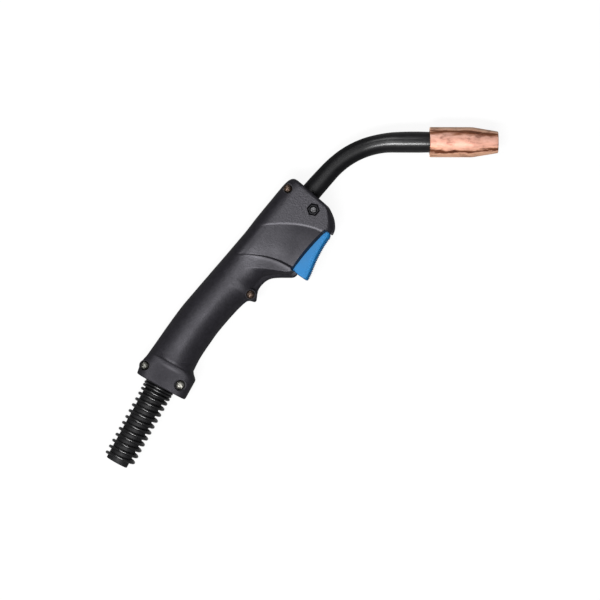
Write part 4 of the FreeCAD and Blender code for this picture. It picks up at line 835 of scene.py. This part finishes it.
mouthSettings = {
    # The trigger's opening: before and after the arc in front of it, each point with its drift outwards.
    "arcFrom": (56.0, 25.7), "arcPitch": 2.1, "arcRise": 0.9, "arcSteps": 19,
    "before": [(55.4, 38.6, 0.3, 0), (55.1, 26.9, 0.3, -0.4)],
    "after": [(15.5, 27.3, -0.15, -1.0), (14.5, 31.4, -0.3, 0), (13.2, 34.4, -0.4, 0),
        (11.4, 38.0, -0.5, 0)],
    "levels": [(-40, 0.7), (-17.9, 0.6), (-17.5, 0.15), (-17.1, 0), (-13.45, -1.9), (13.45, -1.9), (17.1, 0),
        (17.5, 0.15), (17.9, 0.6), (40, 0.7)],
    "slot": [(14.7, 27.6), (15.6, 25.4), (15.6, 20.6), (55.75, 20.6), (55.75, 60), (14.7, 60)],
    "slotHalf": 13.4,
}


def handleTools(side):
    # Everything cut from a shell: mouth, trigger's slot, neck, joint, strain relief, bolts and screws.
    mouth, clamp, screws = mouthSettings, clampSettings, screwSettings
    (x, y), steps = mouth["arcFrom"], mouth["arcSteps"]
    arc = [(x - mouth["arcPitch"] * k, y + mouth["arcRise"] * (1 - 2 * k / steps) ** 2, 0, -1)
           for k in range(1, steps)]
    slot = [(*spot, 0, 0) for spot in mouth["slot"]]
    tools = [prism("mouth", mouth["before"] + arc + mouth["after"], mouth["levels"], fromHandle),
             prism("slot", slot, [(-mouth["slotHalf"], 0), (mouth["slotHalf"], 0)], fromHandle),
             closedGrid("cavity", cavitySkin() * np.array([1, 1, side]), fromHandle)]
    sag, spot, hole = -reliefSettings["sag"], clamp["spot"], clamp["hole"]
    rods = [("neckHole", (-2, 0, 0), endwise, 38, 8.0, fromHandle, 64),
            ("jointHole", (28, 0, 0), endwise, 40, 9.6, fromHandle, 64),
            ("springSeat", (-4.6, 0, 0), endwise, (0, 4.2, 5.2, 9), (12.4, 12.4, 13.2, 13.2), fromRelief,
             72),
            ("sleeveSeat", (-17, sag, 0), endwise, 20, 9.1, fromRelief, 72),
            ("flangeSeat", (-16.3, sag, 0), endwise, 3.4, 11.6, fromRelief, 72),
            ("cableWay", (-42, sag, 0), endwise, 30, 7.8, fromRelief, 72),
            ("pinHole", (*pinAt, -16.1), upright, 32.2, triggerSettings["pinHole"], fromHandle, 32),
            ("boltHole", (*spot, -40), upright, 80, hole, fromHandle, 40)]
    if side > 0:
        rods.append(("nutPocket", (*spot, clamp["pocketFrom"]), upright, *zip(*clamp["pocket"]),
                     fromHandle, 6, math.pi / 6))
    else:
        rods.append(("boltWell", (*spot, clamp["wellFrom"]), (0, 0, -1), *zip(*clamp["well"]),
                     fromHandle, 48))
    for name, (place, spot, well, *rest) in screws["screws"].items():
        rods.append((name + "Shank", (*spot, -12), upright, 30, screws["hole"], place, 24))
        if side > 0:
            rods.append((name + "Well", (*spot, screws["seat"]), upright, 20, well, place, 56))
    return tools + [rod(*row) for row in rods]


def addHandle():
    # Each shell is the grip's skin joined to the collar and two bosses, with the hollows cut out.
    for name, side in (("near", 1), ("far", -1)):
        flip = np.array([1, 1, side])
        shell = closedGrid(name + "_shell", gripSkin() * flip, fromHandle)
        joined = [closedGrid("collar", collarSkin() * flip, fromRelief)]
        for screw, (levels, radii) in screwSettings["bosses"].items():
            place, spot, *rest = screwSettings["screws"][screw]
            joined.append(rod(screw + "Boss", (*spot, 0), (0, 0, side), levels, radii, place, 56))
        carve(shell, joined, handleTools(side))
        finishPiece(shell, "torch", "handlePlastic", ["handle_" + name])
        print(name, "shell:", len(shell.data.polygons), "faces")


# Trigger: sections across it, carried along the grip

triggerSettings = {
    # The front edge: place along the grip and distance out.
    "outer": [(14.95, 32.0), (15.4, 32.8), (16.2, 33.4), (18.2, 34.1), (25, 35.0), (37, 37.7), (45, 40.3),
        (49.4, 41.7), (51.8, 42.2), (53.0, 42.0), (53.8, 41.2), (54.3, 38.0), (54.9, 32.0), (55.2, 28.0),
        (55.3, 25.6)],
    "half": 13.0, "bevel": 2.5, "bevelHeight": 4.3, "power": 1.35, "pinHole": 1.55, "ear": 3.5,
    # The inner side: flat, with a nib that presses the switch, and cut back at the nose.
    "flat": 25.05, "nib": 22.85, "nibEnds": (34.36, 37.64), "nose": 27.1, "noseTo": 16.1,
    "ribs": (18.6, 52.0), "ribPitch": 1.42, "ribDepth": 0.75, "endRound": 0.7, "endFrom": 54.5,
    "extraRows": [22.9, 22.98, 34.35, 34.4, 34.8, 37.2, 37.6, 37.65],
}


def triggerSkin():
    # At each place along the grip a whole section: side, rounded edge and ribbed front, then mirrored.
    given = triggerSettings
    power, (nibFrom, nibTo), (ribsFrom, ribsTo) = 2 / given["power"], given["nibEnds"], given["ribs"]
    at = np.concatenate([np.linspace(15.05, 16.9, 12), np.arange(17.1, 52.3, 0.155),
                         np.linspace(52.4, 55.3, 22), given["extraRows"]])
    at = np.array(sorted(set(np.round(at, 3).tolist())))
    outer = follow(given["outer"], at)
    fromPin = np.clip(at - pinAt[0], -given["ear"], given["ear"])
    inner = np.where(at < pinAt[0] + given["ear"], pinAt[1] - np.sqrt(given["ear"] ** 2 - fromPin ** 2),
                     given["flat"])
    inner = np.where((at > nibFrom) & (at < nibTo), given["nib"], inner)
    inner = np.where(at < given["noseTo"], given["nose"], inner)
    rib = 0.5 - 0.5 * np.cos(2 * math.pi * (at - ribsFrom) / given["ribPitch"])
    within = step(at, ribsFrom - 0.3, ribsFrom + 0.3) * (1 - step(at, ribsTo - 0.3, ribsTo + 0.3))
    groove = (rib ** 1.6 * given["ribDepth"] * within)[:, None]
    half = given["half"] - drawnIn(at - given["endFrom"], given["endRound"])
    share = np.minimum(1, (outer - inner) * 0.32 / given["bevel"])[:, None]
    bevel, drop = given["bevel"] * share, given["bevelHeight"] * share
    outer, inner = outer[:, None], inner[:, None]
    side = np.array([0.0, 0.25, 0.5, 0.75])[None, :]
    angle = np.linspace(0, math.pi / 2, 14)[None, :]
    rise, fall = np.sin(angle) ** power, 1 - np.cos(angle) ** power
    bulge = np.linspace(0, 1, 12)[None, 1:]
    y = [inner + (outer - bevel - inner) * side,
         outer - bevel + bevel * rise - groove * np.clip(rise * 2.2, 0, 1),
         outer - groove + 0.35 * np.sin(bulge * math.pi / 2) ** 2 * step(outer - inner, 1, 5)]
    z = [half + 0 * side, half - drop * fall, (half - drop) * (1 - bulge)]
    y, z = np.concatenate(y, 1), np.concatenate(z, 1)
    return sectionGrid(at, [y, y[:, -2::-1]], [z, -z[:, -2::-1]])


def addTrigger():
    # The lever, bored for its pin.
    piece = closedGrid("trigger_lever", triggerSkin(), fromHandle)
    hole = rod("pinHole", (*pinAt, -20), upright, 40, triggerSettings["pinHole"], fromHandle, 32)
    carve(piece, [], [hole])
    finishPiece(piece, "trigger", "triggerBlue", ["trigger"], 40)
    print("trigger:", len(piece.data.polygons), "faces")


# Neck and nozzle

neckSettings = {
    "radius": 7.9375, "wall": 1.2, "straight": 20.3, "bend": 66.8, "turn": 49.5, "reach": 31.3,
    # Places of the rings on the straight part, from inside the handle outwards.
    "seat": [28.0, 20.0, 12.12, 12.1, 6.5, 6.48, 3.0, 0.0, -7.0, -14.0],
    # The clamp's groove, from, to and depth, and what the coat adds to the radius along the neck.
    "groove": (6.5, 12.1, 0.5), "flattened": 1.0, "endRound": 0.4,
    "coat": [(-2, 0), (2, -0.14), (40, -0.16), (70, 0.0), (80, 0.2), (99, 0.2), (104, 0)],
}


def neckPath():
    # The neck's axis in the handle's frame: straight, an arc about a centre beside it, and straight again.
    given = neckSettings
    points = [(at, 0.0, 0.0) for at in given["seat"]]
    turn = np.radians(np.linspace(0, given["turn"], 46))
    arc = np.stack([-given["straight"] - given["bend"] * np.sin(turn),
                    given["bend"] * (1 - np.cos(turn)), 0 * turn], 1)
    way = np.array([-math.cos(turn[-1]), math.sin(turn[-1]), 0.0])
    run = arc[-1] + way * np.linspace(0, given["reach"], 9)[1:, None]
    slope = np.concatenate([np.tile([-1.0, 0.0, 0.0], (len(points), 1)),
                            np.stack([-np.cos(turn), np.sin(turn), 0 * turn], 1), np.tile(way, (8, 1))])
    return np.concatenate([points, arc, run]), slope


def addNeck():
    # Rings round the neck's axis, outside and then back inside, pressed a little flat in the bend.
    given = neckSettings
    points, slope = neckPath()
    angle = np.linspace(0, 2 * math.pi, 72, endpoint=False)[None, :, None]
    beside = np.stack([-slope[:, 1], slope[:, 0], slope[:, 2]], 1)[:, None, :]
    steps = np.linalg.norm(np.diff(points, axis=0), axis=1)
    run = np.concatenate([[0], np.cumsum(steps)]) - given["seat"][0]
    radius = given["radius"] + np.where(run > -2, follow(given["coat"], run), 0)
    grooveFrom, grooveTo, grooveDepth = given["groove"]
    radius[(points[:, 0] > grooveFrom - 0.01) & (points[:, 0] < grooveTo + 0.01)] -= grooveDepth
    radius[[0, -1]] -= given["endRound"]
    ring = beside * np.cos(angle) + np.array(upright, float) * np.sin(angle)
    flat = given["flattened"] * (step(run, 2, 32) * (1 - step(run, 62, 92)))[:, None, None]
    points = points[:, None, :]
    outer = points + ring * radius[:, None, None] - beside * flat * np.clip(np.cos(angle), 0, 1) ** 2
    inner = points + ring * (given["radius"] - given["wall"])
    grid = np.concatenate([outer, inner[::-1]])
    piece = meshPiece("neck_tube", fromHandle(grid), gridFaces(len(grid), 72, True, True))
    finishPiece(piece, "torch", "neckCoat", ["neck_jacket"], 40)


nozzleSettings = {
    # Distance from the back end and radius, outside and then back through the bore.
    "profile": [(0.0, 9.85), (0.0, 11.15), (0.12, 11.42), (0.45, 11.6), (0.8, 11.6), (1.2, 11.6),
        (18.4, 11.6), (18.7, 11.6), (18.9, 11.55), (19.2, 11.55), (19.4, 11.6), (19.7, 11.6), (25.5, 11.6),
        (25.8, 11.6), (26.1, 11.5), (26.4, 11.6), (26.7, 11.6), (31.0, 11.6), (32.6, 11.56), (33.6, 11.45),
        (35.2, 11.2), (38, 10.73), (44, 9.72), (50, 8.72), (52.0, 8.37), (52.4, 8.24), (52.63, 8.0),
        (52.7, 7.7), (52.7, 6.6), (52.55, 6.38), (50.9, 6.35), (46, 7.34), (40, 8.46), (33, 9.8)],
}


def addNozzle():
    # The shroud's profile, outside and back through its bore, turned about its axis.
    piece = lathe("nozzle_shroud", nozzleSettings["profile"], fromNozzle, 128)
    finishPiece(piece, "nozzle", "nozzleCopper", ["nozzle"], 50)


# Strain relief: a close wound spring over a sleeve

reliefSettings = {
    "radius": 10.95, "wire": 1.15, "from": -3.05, "turns": 15.75, "sleeve": 8.8, "bore": 7.5, "sag": 0.6,
    "flange": 11.3, "length": 68.0,
    # The rise per turn, by the turn: closed at the handle, then open.
    "pitch": [(0, 2.28), (3.2, 2.28), (4.2, 3.6), (5.0, 4.3), (6.2, 5.2), (16, 5.2)],
}


def addRelief():
    # The wire climbs by the sum of its pitch. The sleeve is a turned profile that lies a little low.
    given = reliefSettings
    turn = np.linspace(0, given["turns"], int(given["turns"] * 44) + 1)
    pitch = np.interp(turn, *zip(*given["pitch"]))
    climb = np.concatenate([[0.0], np.cumsum((pitch[1:] + pitch[:-1]) / 2 * np.diff(turn))])
    size = np.full(len(turn), given["wire"])
    size[[0, -1]] *= 0.82
    coil = windWire("relief_coil", turn, given["from"] + climb, 0, given["radius"], size, 14, fromRelief)
    finishPiece(coil, "torch", "springCoat", ["anti_kink_spring"], 60)
    outer, bore, end, flange = given["sleeve"], given["bore"], given["length"], given["flange"]
    profile = [(-16, bore), (-16, flange - 0.2), (-15.8, flange), (-13.7, flange), (-13.5, flange - 0.2),
               (-13.5, outer)]
    profile += [(at, outer) for at in np.arange(-12, end - 2, 4.0)]
    profile += [(end - 0.5, outer), (end - 0.15, outer - 0.15), (end, outer - 0.5), (end, bore + 0.3),
                (end - 0.3, bore)]
    lower = np.array([0, given["sag"], 0])
    tube = lathe("relief_tube", profile, lambda points: fromRelief(points - lower), 72)
    finishPiece(tube, "torch", "sleeveRubber", ["cable_sleeve"], 40)
    print("strain relief:", given["turns"], "turns")


# The trigger's return spring, hidden in the handle

returnSpringSettings = {"foot": (49.5, 14.2, 0.0), "turns": 5, "radius": 3.0, "wire": 0.35,
                        "from": 0.45, "to": 10.2, "closed": 0.75, "pressed": 0.68}


def addReturnSpring():
    # The wire's middle climbs at a small pitch in the first and last turn and evenly between them.
    given = returnSpringSettings
    turns, low, high, closed = given["turns"], given["from"], given["to"], given["closed"]
    turn = np.linspace(0, turns, turns * 36 + 1)
    climb = np.interp(turn, (0, 1, turns - 1, turns), (low, low + closed, high - closed, high))
    coil = windWire("return_spring", turn, climb, 1, given["radius"], given["wire"], 10, fromHandle,
                    given["foot"])
    finishPiece(coil, "torch", "zincSteel", ["trigger_spring"], 60)
    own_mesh(coil)
    print("return spring:", turns, "turns")


# Screws, clamp bolt and nut

def wedge(name, spot, turn, place):
    # A bar that narrows downwards, for a driver's slot.
    reach, half = screwSettings["driver"]
    way = np.array([math.cos(turn), math.sin(turn), 0])
    side = np.array([-way[1], way[0], 0.0])
    rows = []
    for height, share in screwSettings["narrows"]:
        middle = np.array([spot[0], spot[1], screwSettings["seat"] + height])
        rows.append([middle + way * a * reach * share + side * b * half * share
                     for a, b in ((1, 1), (-1, 1), (-1, -1), (1, -1))])
    return closedGrid(name, np.array(rows), place)


def joinPieces(name, pieces):
    # One mesh out of several.
    shape = bmesh.new()
    for piece in pieces:
        shape.from_mesh(piece.data)
        bpy.data.objects.remove(piece)
    mesh = bpy.data.meshes.new(name)
    shape.to_mesh(mesh)
    shape.free()
    return newObject(name, mesh)


def addScrews():
    # A turned shank and domed head with two slots crossed in it, joined by finish.
    given, groups = screwSettings, {}
    seat, (top, tip) = given["seat"], given["top"]
    for name, (place, spot, well, head, turn, finish) in given["screws"].items():
        dome = [(seat + height, head + more) for height, more in given["dome"]]
        profile = given["shank"] + dome + [(seat + top, tip)]
        screw = rod(name + "Screw", (*spot, 0), upright, *zip(*profile), place, 40)
        slots = [wedge("driverSlot", spot, angle, place) for angle in np.radians([turn, turn + 90])]
        carve(screw, [], slots)
        groups.setdefault(finish, []).append(screw)
    for finish, pieces in groups.items():
        joined = joinPieces("screws_" + finish, pieces)
        finishPiece(joined, "torch", finish, ["handle_screws"], 40)


def addClamp():
    # A hexagon nut bored through, and a bolt with a hexagon socket in its round head.
    given = clampSettings
    spot, head, radius = given["spot"], given["wellFrom"], given["across"] / math.sqrt(3)
    levels, more = np.transpose(given["nut"])
    nut = rod("clamp_hex_nut", (*spot, given["pocketFrom"] + 0.05), upright, levels, radius + more,
              fromHandle, 6, math.pi / 6)
    carve(nut, [], [rod("nutHole", (*spot, 10), upright, *zip(*given["nutBore"]), fromHandle, 40)])
    finishPiece(nut, "torch", "blackSteel", ["clamp_nut"], 30)
    bolt = rod("clamp_hex_bolt", (*spot, head - 2.6), upright, *zip(*given["bolt"]), fromHandle, 48)
    carve(bolt, [], [rod("boltSocket", (*spot, head - 3.6), upright, *zip(*given["socket"]), fromHandle, 6)])
    finishPiece(bolt, "torch", "boltSteel", ["clamp_bolt"], 30)


print("tools ready")
for name, row in plainSettings.items():
    plainFinish(name, *row)
for make in (plasticFinish, neckFinish, nozzleFinish, addCamera, addLamps, addWorld, addFloor, dressFrame,
             addHandle, addTrigger, addNeck, addNozzle, addRelief, addReturnSpring, addScrews, addClamp):
    make()
    print("done:", make.__name__)

bpy.context.scene.view_settings.view_transform = "Standard"
